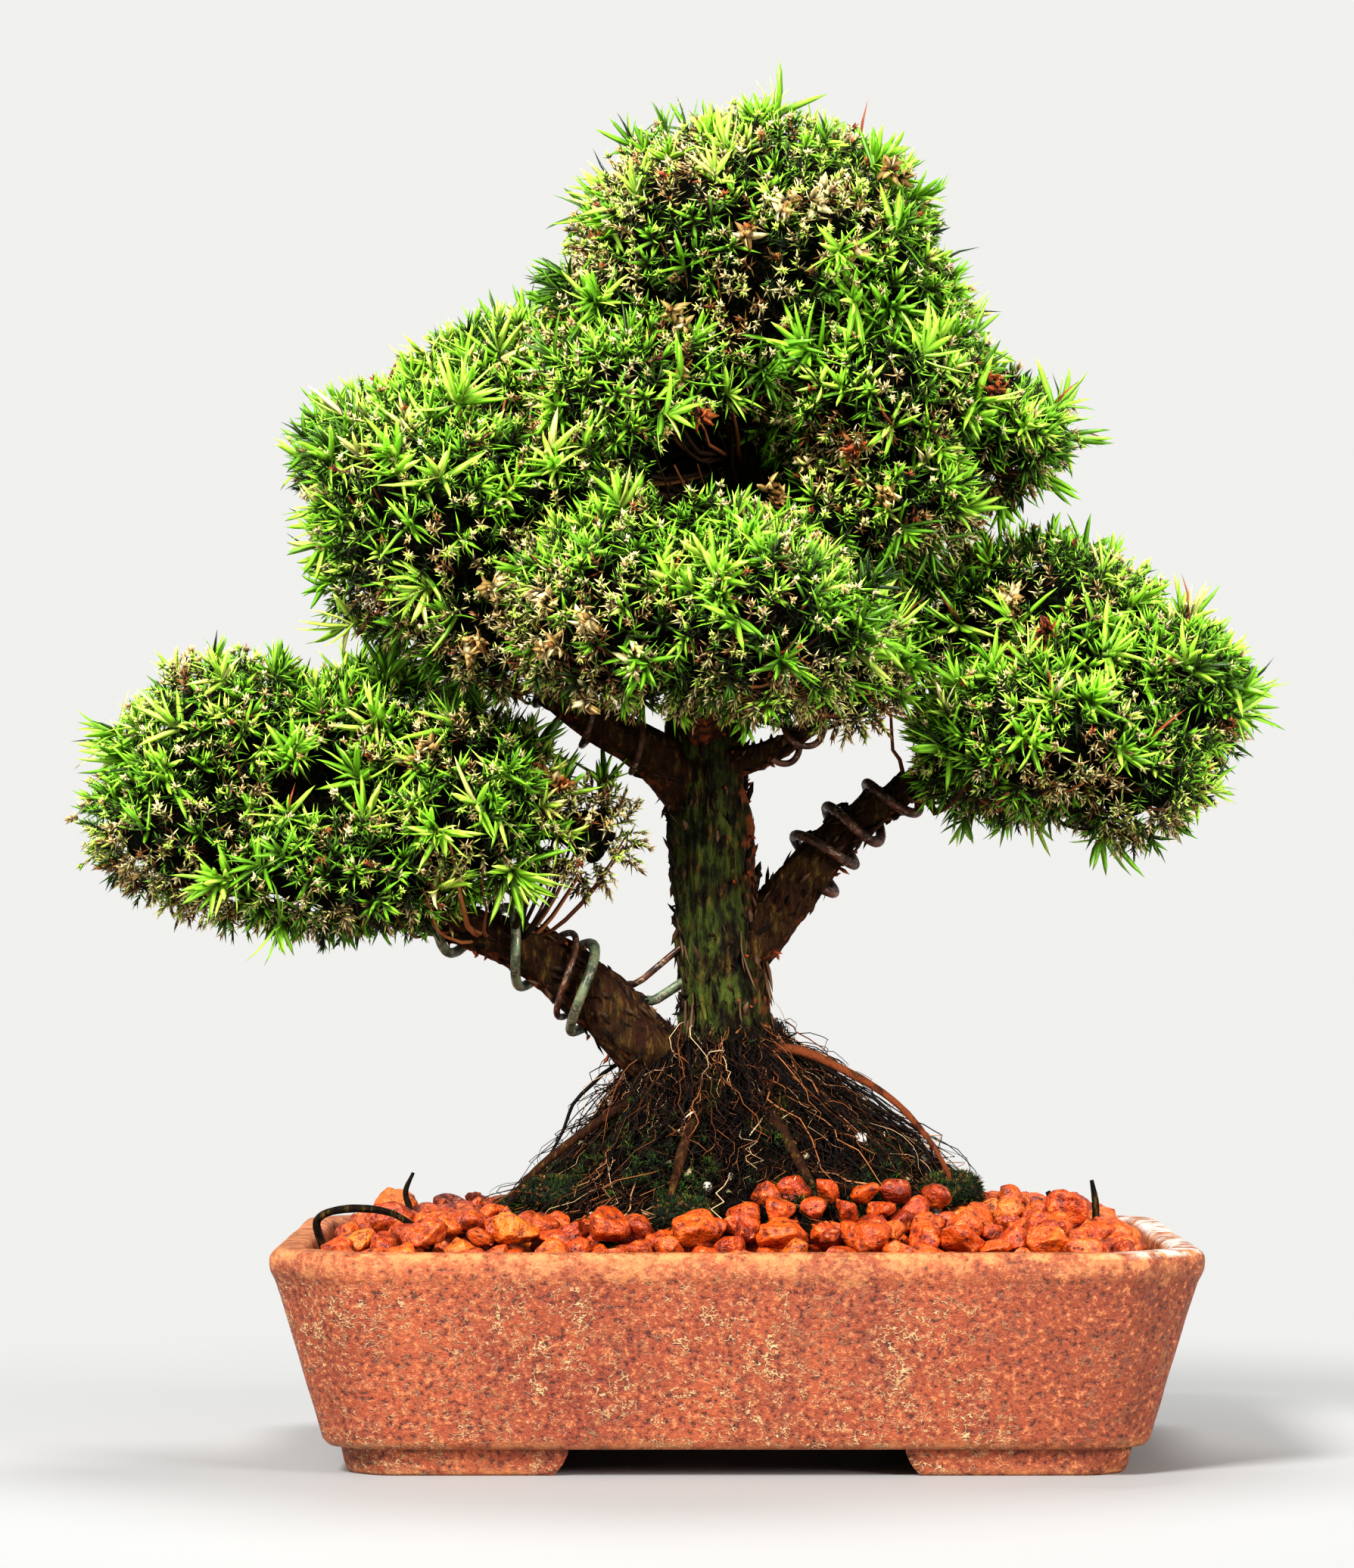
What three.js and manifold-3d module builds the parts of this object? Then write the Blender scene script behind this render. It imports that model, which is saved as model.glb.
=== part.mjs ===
// A small cedar bonsai in an unglazed clay pot with canted corners. Millimetres, +Z up; the viewing
// side is -Y.
// The tree is laid out above the pot's rim, so it follows the pot when the pot's height changes.
import * as THREE from "three";
import { mergeVertices } from "three/addons/utils/BufferGeometryUtils.js";
import Module from "manifold-3d";

const wasm = await Module();
wasm.setup();

// ---------------------------------------------------------------------------- driving dimensions
const GAP = 0.3; // clearance kept between two pieces that touch
const POT = {
  length: 240, width: 180, height: 58, wall: 9, floor: 6, cornerTop: 21, cornerBottom: 9,
  taper: 12.7, lipHeight: 8, lipOverhang: 1.6, lipRound: 2.2, bottomChamfer: 2,
};
const FEET = { height: 7, inset: 4.6, width: 14, frontGap: 86, sideGap: 62, scoop: 4 };
const DRAIN = { radius: 9, offset: 56 };
const SCREEN = { opening: 5, bar: 1.6, thickness: 1, lap: 0.7 };
const CLIP = { wireRadius: 0.6, legOut: 9 };
const SOIL = { depthBelowRim: 10 };
const GRAVEL = { edgeDrop: 0.5, rise: 6, riseWidth: 26, heapHeight: 5, heapSpread: 20 };
const STONE = { radius: 5.4, frontCount: 8, sideCount: 2 };
const MOUND = { footLength: 130, footWidth: 98 };
const TRUNK = { diameter: 22.8 }; // at mid height; every limb thickens with it
const WIRE = { thick: 1.35, thin: 0.9, section: 5 };
const FOLIAGE = { domeLength: 100 }; // the crown dome; every other pad swells with it

const rimLevel = POT.height;
const floorLevel = FEET.height + POT.floor;
const soilLevel = POT.height - SOIL.depthBelowRim;
const half = { x: POT.length / 2, y: POT.width / 2 };
const front = new THREE.Vector3(0, -1, 0);

// --------------------------------------------------------------------------------- solid helpers
const point = (x, y, z) => new THREE.Vector3(x, y, z);

function solid(geometry) {
  const bare = geometry.clone();
  bare.deleteAttribute("normal");
  bare.deleteAttribute("uv");
  const merged = mergeVertices(bare, 1e-4);
  const vertProperties = new Float32Array(merged.attributes.position.array);
  const triVerts = new Uint32Array(merged.index.array);
  return new wasm.Manifold(new wasm.Mesh({ numProp: 3, vertProperties, triVerts }));
}

// A closed skin through rings of equal point count, with a fan over the first and the last ring.
function loft(rings) {
  const count = rings[0].length;
  const points = rings.flat();
  const faces = [];
  const centre = (ring) => ring.reduce((sum, p) => sum.add(p), point(0, 0, 0)).divideScalar(count);
  const firstCentre = points.push(centre(rings[0])) - 1;
  const lastCentre = points.push(centre(rings.at(-1))) - 1;
  const lastRing = (rings.length - 1) * count;
  for (let i = 0; i < count; i++) {
    const j = (i + 1) % count;
    for (let start = 0; start < lastRing; start += count) {
      faces.push(start + i, start + j, start + count + j, start + i, start + count + j, start + count + i);
    }
    faces.push(firstCentre, j, i, lastCentre, lastRing + i, lastRing + j);
  }
  const geometry = new THREE.BufferGeometry().setFromPoints(points);
  geometry.setIndex(faces);
  return solid(geometry);
}

// A cut can leave a loose crumb beside the piece; only the piece itself is kept.
function largest(shape) {
  return shape.decompose().reduce((best, part) => (part.volume() > best.volume() ? part : best));
}

const cut = (shape, ...tools) => largest(tools.reduce((rest, tool) => rest.subtract(tool), shape));
const join = (...shapes) => shapes.reduce((sum, shape) => sum.add(shape));

function boxSolid(sizeX, sizeY, sizeZ, x, y, z) {
  return solid(new THREE.BoxGeometry(sizeX, sizeY, sizeZ).translate(x, y, z));
}

// A small, repeatable unevenness between -1 and 1.
function ripple(x, y, z, seed) {
  const across = Math.sin(1.7 * x + seed) * Math.cos(1.3 * y - 2 * seed);
  return 0.6 * across + 0.4 * Math.sin(2.1 * z + 1.9 * x - seed);
}

// ------------------------------------------------------------------------------------------- pot
const CORNER_STEPS = 4;
const FILLET = 3; // between the inner wall and the floor

function potRing(halfX, halfY, corner, z) {
  const ring = [];
  const corners = [[1, 1, 0], [-1, 1, 90], [-1, -1, 180], [1, -1, 270]];
  for (const [sideX, sideY, startAngle] of corners) {
    for (let step = 0; step <= CORNER_STEPS; step++) {
      const angle = THREE.MathUtils.degToRad(startAngle + (90 * step) / CORNER_STEPS);
      const x = sideX * (halfX - corner) + corner * Math.cos(angle);
      const y = sideY * (halfY - corner) + corner * Math.sin(angle);
      ring.push(point(x, y, z));
    }
  }
  return ring;
}

// How far the outer wall stands in from the lip at a height: straight taper below the lip.
const lipUnderside = POT.height - POT.lipHeight;
const bodyShare = (z) => THREE.MathUtils.clamp((lipUnderside - z) / (lipUnderside - FEET.height), 0, 1);
const wallInset = (z) => POT.lipOverhang + POT.taper * bodyShare(z);
const cornerAt = (z) => THREE.MathUtils.lerp(POT.cornerTop, POT.cornerBottom, bodyShare(z));

function outerRing(inset, z) {
  return potRing(half.x - inset, half.y - inset, Math.max(cornerAt(z) - inset * 0.2, 3), z);
}

function innerRing(clearance, z) {
  const inset = wallInset(z) - POT.lipOverhang + POT.wall + clearance;
  return potRing(half.x - inset, half.y - inset, Math.max(cornerAt(z) - POT.wall / 2 - clearance, 3), z);
}

function feetSolid() {
  const topOverlap = FEET.height + 1;
  const outer = wallInset(FEET.height) + FEET.inset;
  const inner = outer + FEET.width;
  const frame = loft([outerRing(outer, 0), outerRing(outer, topOverlap)]);
  const middle = loft([outerRing(inner, -1), outerRing(inner, FEET.height)]);
  const scoopedGap = (gap, run) => {
    const outline = new THREE.Shape();
    outline.moveTo(-gap / 2 - FEET.scoop, -1);
    outline.lineTo(gap / 2 + FEET.scoop, -1);
    outline.lineTo(gap / 2 + FEET.scoop, 1.2);
    outline.quadraticCurveTo(gap / 2 + 1, 2.2, gap / 2, FEET.height);
    outline.lineTo(-gap / 2, FEET.height);
    outline.quadraticCurveTo(-gap / 2 - 1, 2.2, -gap / 2 - FEET.scoop, 1.2);
    const prism = new THREE.ExtrudeGeometry(outline, { depth: run, bevelEnabled: false, curveSegments: 4 });
    return prism.rotateX(Math.PI / 2).translate(0, run / 2, 0);
  };
  const frontGaps = solid(scoopedGap(FEET.frontGap, POT.width));
  const sideGaps = solid(scoopedGap(FEET.sideGap, POT.length).rotateZ(Math.PI / 2));
  return frame.subtract(middle).subtract(frontGaps).subtract(sideGaps);
}

const drainHoles = [-1, 1].map((side) => {
  const run = POT.floor + 4;
  const hole = new THREE.CylinderGeometry(DRAIN.radius, DRAIN.radius, run, 24).rotateX(Math.PI / 2);
  return solid(hole.translate(side * DRAIN.offset, 0, FEET.height + POT.floor / 2));
});

function makePot() {
  const base = wallInset(FEET.height);
  const bowl = loft([
    outerRing(base + POT.bottomChamfer, FEET.height),
    outerRing(base, FEET.height + POT.bottomChamfer),
    outerRing(POT.lipOverhang, lipUnderside - 0.6),
    outerRing(0, lipUnderside + 1),
    outerRing(0, rimLevel - POT.lipRound),
    outerRing(POT.lipRound, rimLevel),
    innerRing(-1.5, rimLevel),
    innerRing(0, rimLevel - 1.5),
    innerRing(0, lipUnderside),
    innerRing(0, floorLevel + FILLET),
    innerRing(FILLET, floorLevel),
  ]);
  return cut(join(bowl, feetSolid()), ...drainHoles);
}

// ----------------------------------------------------------------- drain screens and their clips
const screenPitch = SCREEN.opening + SCREEN.bar;
const openingsNeeded = Math.ceil((2 * DRAIN.radius + 2 * SCREEN.lap) / screenPitch);
// An odd number of openings, so that the clip's legs pass through the middle of two of them.
const openingsAcross = openingsNeeded + ((openingsNeeded + 1) % 2);
const screenSide = openingsAcross * screenPitch + SCREEN.bar;
const screenBottom = floorLevel + GAP;
const screenTop = screenBottom + SCREEN.thickness;

// A moulded plastic grid: straight bars one way, with slightly thinner ones across them.
function screenSolid(side) {
  const bars = [];
  const run = openingsAcross * screenPitch;
  const thinner = SCREEN.thickness * 0.7;
  const [middleX, middleZ] = [side * DRAIN.offset, screenBottom + SCREEN.thickness / 2];
  for (let index = 0; index <= openingsAcross; index++) {
    const place = (index - openingsAcross / 2) * screenPitch;
    bars.push(boxSolid(SCREEN.bar, screenSide, SCREEN.thickness, middleX + place, 0, middleZ));
    bars.push(boxSolid(run, SCREEN.bar, thinner, middleX, place, middleZ));
  }
  return join(...bars);
}

function wireGeometry(points, radius, steps) {
  const outline = new THREE.Shape();
  for (let corner = 0; corner < WIRE.section; corner++) {
    const angle = (2 * Math.PI * corner) / WIRE.section;
    const [x, y] = [radius * Math.cos(angle), radius * Math.sin(angle)];
    if (corner === 0) outline.moveTo(x, y);
    else outline.lineTo(x, y);
  }
  const extrudePath = new THREE.CatmullRomCurve3(points, false, "centripetal");
  return new THREE.ExtrudeGeometry(outline, { steps, extrudePath, bevelEnabled: false });
}

// A staple: both legs drop through openings of the screen and the drain hole, and fold out flat
// under the floor.
function clipSolid(side) {
  const legX = screenPitch;
  const archZ = screenTop + GAP + CLIP.wireRadius;
  const foldZ = FEET.height - GAP - CLIP.wireRadius;
  const bend = 1.4;
  const leg = (sign) => [
    point(sign * (legX - bend), 0, archZ),
    point(sign * legX, 0, archZ - bend),
    point(sign * legX, 0, foldZ + bend),
    point(sign * (legX + bend), 0, foldZ),
    point(sign * (legX + CLIP.legOut), 0, foldZ),
  ];
  const path = [...leg(-1).reverse(), ...leg(1)].map((p) => p.add(point(side * DRAIN.offset, 0, 0)));
  return solid(wireGeometry(path, CLIP.wireRadius, 24));
}

const clipPocket = (side) => {
  const length = screenPitch * 2 + 4 * CLIP.wireRadius;
  const height = 2 * CLIP.wireRadius + 3 * GAP;
  return boxSolid(length, 3 * CLIP.wireRadius, height, side * DRAIN.offset, 0, screenTop + height / 2);
};
const screenPocket = (side) => {
  const edge = screenSide + 2 * GAP;
  const middleZ = screenBottom + SCREEN.thickness / 2;
  return boxSolid(edge, edge, SCREEN.thickness + 3 * GAP, side * DRAIN.offset, 0, middleZ);
};

// ----------------------------------------------------------------------------------- tree's wood
// Each limb lists centre points [x, y, height above the rim, radius], from its root to its tip. The
// radii are those of a trunk 22.8 mm through.
const girth = TRUNK.diameter / 22.8;
const LIMBS = {
  trunk: [
    [-2, 0, 14, 15], [-2, 0, 36, 14], [-2, 0, 50, 12.6], [-3, 0, 66, 11.6], [-4, 0, 84, 11.4],
    [-7, 0, 112, 11.2],
    [-8, 1, 127, 10.8], [-8, 3, 144, 9.6], [-5, 4, 164, 8.4], [-1, 4, 184, 7.2], [2, 2, 205, 5.9],
    [4, 0, 228, 4.4],
    [5, 0, 250, 2.6],
  ],
  lower_left: [
    [-7, 0, 38, 8.8], [-24, -6, 50, 9.2], [-37, -8, 63, 9.1], [-50, -8, 73, 8], [-66, -8, 80, 6.3],
    [-83, -8, 85, 5.2],
    [-100, -8, 91, 4.2], [-117, -8, 98, 3], [-133, -8, 107, 2],
  ],
  lower_right: [
    [-2, 0, 72, 8.8], [10, 0, 84, 8], [20, 0, 97, 7.2], [29, 0, 107, 6.3], [42, -2, 116, 5.1],
    [58, -4, 128, 4.2],
    [74, -6, 139, 3], [92, -6, 147, 2],
  ],
  middle_left: [
    [-9, 0, 116, 8], [-21, -6, 127, 7.1], [-36, -12, 136, 5.9], [-51, -18, 148, 4.6], [-63, -22, 164, 3.3],
    [-73, -24, 182, 2.1],
  ],
  front: [
    [-8, 0, 133, 6.7], [-9, -16, 141, 5.4], [-12, -34, 149, 4.1], [-13, -50, 157, 2.7], [-4, -60, 162, 1.8],
  ],
  upper_right: [
    [-1, 4, 184, 5.9], [13, 0, 193, 4.6], [29, -4, 203, 3.6], [47, -8, 212, 2.6], [64, -5, 214, 1.8],
  ],
  back: [[-4, 4, 158, 5.9], [-5, 22, 168, 4.7], [-6, 38, 182, 3.5], [-7, 50, 200, 2.2]],
  right_spur: [[-7, 0, 124, 4.8], [8, -8, 128, 3.8], [20, -19, 135, 2.8], [27, -34, 144, 2]],
};
const ROOTS = {
  long_right: [
    [5, -6, 49, 2.4], [17, -15, 49, 2], [31, -21, 43, 1.8], [43, -24, 35, 1.6], [53, -25, 23, 1.4],
    [62, -25, 4, 1.2],
  ],
  long_left: [
    [-14, -5, 40, 2.4], [-33, -14, 32, 1.9], [-46, -19, 23, 1.5], [-57, -22, 13, 1.3], [-63, -23, 2, 1.2],
  ],
  front_left: [[-8, -6, 44, 3], [-10, -21, 34, 2.3], [-14, -34, 23, 1.9], [-19, -45, 5, 1.4]],
  front_right: [[3, -6, 42, 3], [10, -24, 32, 2.2], [17, -36, 20, 1.8], [25, -47, 4, 1.4]],
  back_right: [[6, 5, 42, 3.4], [24, 18, 30, 2.6], [40, 27, 17, 2], [52, 34, 3, 1.5]],
  back_left: [[-10, 6, 42, 3.4], [-26, 20, 28, 2.6], [-40, 30, 14, 2], [-50, 36, 3, 1.5]],
};

// Centres, radii and a carried cross-section frame along part of a limb.
function stations(limb, from, to, steps) {
  const centres = limb.map(([x, y, z]) => point(x, y, rimLevel + z));
  const spine = new THREE.CatmullRomCurve3(centres, false, "centripetal");
  const list = [];
  let across = null;
  for (let step = 0; step <= steps; step++) {
    const t = THREE.MathUtils.lerp(from, to, step / steps);
    const tangent = spine.getTangent(t);
    const previous = across ?? (Math.abs(tangent.y) > 0.8 ? point(0, 0, 1) : front);
    across = previous.clone().addScaledVector(tangent, -previous.dot(tangent)).normalize();
    const place = t * (limb.length - 1);
    const index = Math.min(Math.floor(place), limb.length - 2);
    const radius = THREE.MathUtils.lerp(limb[index][3], limb[index + 1][3], place - index);
    const side = tangent.clone().cross(across);
    list.push({ centre: spine.getPoint(t), tangent, across, side, radius: radius * girth });
  }
  return list;
}

function onStation({ centre, across, side }, angle, reach) {
  const [outAcross, outSide] = [Math.cos(angle) * reach, Math.sin(angle) * reach];
  return centre.clone().addScaledVector(across, outAcross).addScaledVector(side, outSide);
}

function limbSolid(limb, sides, stepsPerPoint, grow = 0) {
  const list = stations(limb, 0, 1, Math.ceil((limb.length - 1) * stepsPerPoint));
  list[0].centre.addScaledVector(list[0].tangent, -grow);
  list.at(-1).centre.addScaledVector(list.at(-1).tangent, grow);
  const rings = list.map((station) => {
    const corner = (index) => onStation(station, (2 * Math.PI * index) / sides, station.radius + grow);
    return Array.from({ length: sides }, (_, index) => corner(index));
  });
  return loft(rings);
}

function woodSolid(grow = 0) {
  const { trunk, ...branches } = LIMBS;
  const shapes = [limbSolid(trunk, 12, 1.5, grow)];
  for (const branch of Object.values(branches)) shapes.push(limbSolid(branch, 7, 1.5, grow));
  for (const root of Object.values(ROOTS)) shapes.push(limbSolid(root, 5, 1, grow));
  return join(...shapes);
}

// -------------------------------------------------------------------------------- training wires
// Angles run round a limb from its front; a wire first passes round the trunk when it is anchored there.
const turn = (degrees) => THREE.MathUtils.degToRad(degrees);

function coil(limb, from, to, startAngle, endAngle, radius) {
  const steps = Math.ceil(Math.abs(endAngle - startAngle) / turn(30));
  return stations(limb, from, to, steps).map((station, step) => {
    const angle = THREE.MathUtils.lerp(startAngle, endAngle, step / steps);
    return onStation(station, angle, station.radius + radius + 2 * GAP);
  });
}

function leftBranchWire(radius, trunkFrom, branchFrom, branchTo, endAngle) {
  const anchor = coil(LIMBS.trunk, trunkFrom, trunkFrom - 0.02, turn(135), turn(252), radius);
  return [...anchor, ...coil(LIMBS.lower_left, branchFrom, branchTo, turn(110), endAngle, radius)];
}

const WIRES = {
  wire_left_branch_thick: {
    radius: WIRE.thick,
    path: leftBranchWire(WIRE.thick, 0.345, 0.17, 0.6, turn(1080)),
    color: 0x6f7a5c,
  },
  wire_left_branch_thin: {
    radius: WIRE.thin,
    path: leftBranchWire(WIRE.thin, 0.385, 0.215, 0.42, turn(590)),
    color: 0x5a3626,
  },
  wire_right_branch: {
    radius: WIRE.thick,
    path: coil(LIMBS.lower_right, 0.27, 0.62, turn(40), turn(1240), WIRE.thick),
    color: 0x4a2c20,
  },
  wire_middle_branch: {
    radius: WIRE.thin,
    path: coil(LIMBS.middle_left, 0.26, 0.6, turn(-60), turn(700), WIRE.thin),
    color: 0x4a2c20,
  },
  wire_right_spur: {
    radius: WIRE.thin,
    path: coil(LIMBS.right_spur, 0.42, 0.8, turn(20), turn(780), WIRE.thin),
    color: 0x5a3626,
  },
};

const wireSolid = ({ radius, path }, grow = 0) => solid(wireGeometry(path, radius + grow, path.length));

// ---------------------------------------------------------------------------------- lumpy shapes
// A lobe is [x, y, height above the rim, half-length x, y, z]; its skin is a little uneven.
function lobeSolid([x, y, z, sizeX, sizeY, sizeZ], detail, unevenness, seed, grow = 0) {
  const geometry = new THREE.IcosahedronGeometry(1, detail);
  const position = geometry.attributes.position;
  for (let index = 0; index < position.count; index++) {
    const direction = new THREE.Vector3().fromBufferAttribute(position, index).normalize();
    const bulge = 1 + unevenness * ripple(2.4 * direction.x, 2.4 * direction.y, 2.4 * direction.z, seed);
    const place = point(direction.x * (sizeX * bulge + grow), direction.y * (sizeY * bulge + grow), 0);
    place.z = direction.z * (sizeZ * bulge + grow);
    position.setXYZ(index, x + place.x, y + place.y, rimLevel + z + place.z);
  }
  return solid(geometry);
}

// --------------------------------------------------------------------------------------- foliage
// Clipped pads of needles; a later pad gives way where it meets an earlier one.
const PADS = {
  foliage_lower_left: [
    [-134, -5, 128, 29, 38, 22], [-99, 8, 130, 32, 40, 20], [-70, -16, 114, 26, 34, 23],
    [-146, -12, 107, 27, 32, 18],
    [-107, -20, 96, 40, 32, 15], [-106, -8, 113, 34, 30, 17], [-40, -14, 107, 13, 15, 11],
  ],
  foliage_lower_right: [
    [84, 15, 163, 34, 42, 22], [114, -4, 143, 22, 34, 22], [78, -22, 130, 33, 38, 21],
    [54, 6, 161, 18, 24, 14],
    [104, -20, 121, 21, 28, 16], [90, -6, 146, 26, 32, 20],
  ],
  foliage_front: [
    [-30, -58, 164, 30, 38, 24], [4, -62, 160, 32, 40, 24], [29, -46, 151, 16, 24, 16],
    [-12, -46, 178, 34, 32, 18],
  ],
  foliage_middle_left: [
    [-78, -26, 189, 33, 42, 34], [-61, 4, 218, 27, 40, 23], [-97, 10, 206, 18, 30, 17],
    [-60, -34, 164, 26, 30, 20],
    [-50, -26, 192, 26, 34, 24],
  ],
  foliage_upper_right: [
    [40, -12, 221, 31, 42, 21], [70, -2, 213, 21, 32, 14], [42, -14, 197, 22, 32, 20],
    [26, -18, 186, 20, 28, 15],
  ],
  foliage_apex: [
    [6, 0, 258, 50, 50, 40], [36, -6, 246, 25, 34, 22], [-24, -6, 243, 25, 34, 22],
    [2, -12, 232, 34, 34, 18],
  ],
  foliage_upper_left: [[-30, -30, 216, 25, 32, 22], [-14, -22, 224, 18, 28, 16]],
  foliage_back: [[-7, 48, 212, 46, 42, 36], [17, 54, 178, 36, 38, 25], [-29, 54, 173, 32, 36, 24]],
};

const padSwell = FOLIAGE.domeLength / 100; // the lobes above are for a dome 100 mm long
const isDome = (halfLength) => halfLength > 45;

function padSolid(lobes, seed, grow = 0) {
  const shapes = lobes.map(([x, y, z, ...size], index) => {
    const lobe = [x, y, z, ...size.map((halfLength) => halfLength * padSwell)];
    return lobeSolid(lobe, isDome(size[0]) ? 2 : 1, 0.07, seed + index, grow);
  });
  return join(...shapes);
}

// ------------------------------------------------------------------- root mound, soil and gravel
// Mound rings: [height above the rim, centre x, share of the foot's length, share of its width]. The
// mound's foot stands on the soil.
const MOUND_RINGS = [
  [4, 0, 1, 1], [10, 1, 0.89, 0.9], [16, 2, 0.785, 0.775], [24, 3, 0.66, 0.655], [36, 0, 0.48, 0.51],
  [46, -3, 0.34, 0.39], [52, -4, 0.26, 0.306],
];
const MOUND_SIDES = 28;

function moundRing(z, x, shareX, shareY, grow) {
  return Array.from({ length: MOUND_SIDES }, (_, index) => {
    const angle = (2 * Math.PI * index) / MOUND_SIDES;
    const ridge = 1 + 0.05 * Math.sin(9 * angle + z / 9) + 0.04 * Math.sin(5 * angle - z / 14);
    const outX = (MOUND.footLength / 2) * shareX * ridge + grow;
    const outY = (MOUND.footWidth / 2) * shareY * ridge + grow;
    return point(x + outX * Math.cos(angle), outY * Math.sin(angle), z);
  });
}

function moundSolid(grow = 0) {
  const foot = moundRing(soilLevel + GAP - grow, MOUND_RINGS[0][1], 1, 1, grow);
  const rise = ([z, x, shareX, shareY]) => moundRing(rimLevel + z + grow, x, shareX, shareY, grow);
  return loft([foot, ...MOUND_RINGS.map(rise)]);
}

const seeds = { moss: 60, chip: 11, stone: 20 };

// Moss cushions and a dark bark chip bedded into the foot of the mound: [share of the foot's length,
// share of its width, height above the rim, half-length x, y, z].
const MOSS = {
  moss_right: [0.88, -0.43, 12, 9, 8, 5.5],
  moss_front: [-0.2, -0.94, 7, 9, 6.5, 5],
  moss_left: [-0.72, -0.49, 11, 10, 7, 5],
};
const CHIP = [0.77, -0.735, 5.5, 11, 5, 3.2];

function onMound([shareX, shareY, ...rest], unevenness, seed, grow) {
  const place = [(shareX * MOUND.footLength) / 2, (shareY * MOUND.footWidth) / 2];
  return lobeSolid([...place, ...rest], 1, unevenness, seed, grow);
}
const mossSolid = (name, grow = 0) => onMound(MOSS[name], 0.12, seeds.moss + MOSS[name][3], grow);
const chipSolid = (grow = 0) => onMound(CHIP, 0.25, seeds.chip, grow);

// Thin dry things left in the gravel: a loop of stray root and three upright twigs.
const wallFoot = wallInset(soilLevel) + POT.wall;
const gravelEdge = { x: half.x - wallFoot, y: half.y - wallFoot };
const twigLeftX = -0.8 * gravelEdge.x;
const twigRightX = 0.89 * gravelEdge.x;
const twigShortX = 0.79 * gravelEdge.x;
const LITTER = {
  stray_root: [
    [-gravelEdge.x + 1, -30, -4, 1], [-gravelEdge.x - 1, -33, 5, 1.1], [-gravelEdge.x + 5, -36, 8, 1.1],
    [-gravelEdge.x + 19, -37, 7, 1], [-gravelEdge.x + 32, -34, -3, 0.9],
  ],
  twig_left: [
    [twigLeftX, -2, -4, 1.1], [twigLeftX, -2, 6, 1], [twigLeftX - 1, -2, 11, 0.8],
    [twigLeftX + 1, -2, 16, 0.5],
  ],
  twig_right: [[twigRightX, -2, -4, 1], [twigRightX, -2, 8, 0.9], [twigRightX - 1, -2, 14, 0.5]],
  twig_right_short: [[twigShortX, -3, -4, 1.2], [twigShortX, -3, 7, 1.1], [twigShortX - 2, -3, 11, 0.8]],
};
const litterSolid = (name, grow = 0) => limbSolid(LITTER[name], 5, 2, grow);

// The gravel's top: level with the rim at the wall, rising inwards, with a heap at the right.
function gravelHeight(x, y, ringShare) {
  const inward = (1 - ringShare) * Math.min(gravelEdge.x, gravelEdge.y);
  const rise = GRAVEL.rise * THREE.MathUtils.smoothstep(inward, 0, GRAVEL.riseWidth);
  const [fromHeapX, fromHeapY] = [x - 0.66 * gravelEdge.x, y + 0.1 * gravelEdge.y];
  const away = (fromHeapX ** 2 + fromHeapY ** 2) / (2 * GRAVEL.heapSpread ** 2);
  const heap = GRAVEL.heapHeight * Math.exp(-away);
  const unevenness = 0.9 * ripple(x / 5, y / 5, 0, 1);
  return rimLevel - GRAVEL.edgeDrop + rise + heap * Math.min(1, inward / 8) + unevenness;
}

function gravelBlank() {
  const edge = innerRing(GAP, soilLevel + GAP);
  const shelf = (share) => innerRing(GAP, rimLevel - 2).map(({ x, y }) => {
    return point(x * share, y * share, gravelHeight(x * share, y * share, share));
  });
  return loft([edge, innerRing(GAP, rimLevel - 2), ...[0.985, 0.9, 0.8, 0.66, 0.5, 0.3].map(shelf)]);
}

// Larger loose stones along the front and the two ends, bedded a third deep.
const STONES = {};
const stoneShare = 0.84;
for (let index = 0; index < STONE.frontCount; index++) {
  const share = (index + 0.5) / STONE.frontCount;
  const x = THREE.MathUtils.lerp(-0.84, 0.84, share) * gravelEdge.x;
  const y = -stoneShare * gravelEdge.y + 4 * Math.sin(7 * index);
  STONES[`stone_front_${index + 1}`] = { x, y, seed: seeds.stone + index };
}
for (let index = 0; index < 2 * STONE.sideCount; index++) {
  const side = index % 2 === 0 ? -1 : 1;
  const y = THREE.MathUtils.lerp(-0.25, 0.35, Math.floor(index / 2) / (STONE.sideCount - 1)) * gravelEdge.y;
  const x = side * stoneShare * gravelEdge.x + 3 * Math.sin(5 * index);
  STONES[`stone_side_${index + 1}`] = { x, y, seed: seeds.stone + 3 * index + 40 };
}

function stoneSolid({ x, y, seed }, grow = 0) {
  const long = STONE.radius * (1 + 0.22 * Math.sin(3 * seed));
  const tall = STONE.radius * (0.74 + 0.12 * Math.cos(2 * seed));
  const share = Math.max(Math.abs(x) / gravelEdge.x, Math.abs(y) / gravelEdge.y);
  const z = gravelHeight(x, y, share) - rimLevel + tall * 0.35;
  return lobeSolid([x, y, z, long, STONE.radius * 0.9, tall], 1, 0.16, seed, grow);
}

// -------------------------------------------------------------------------------------- assembly
const innerGroup = new THREE.Group();

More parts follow.
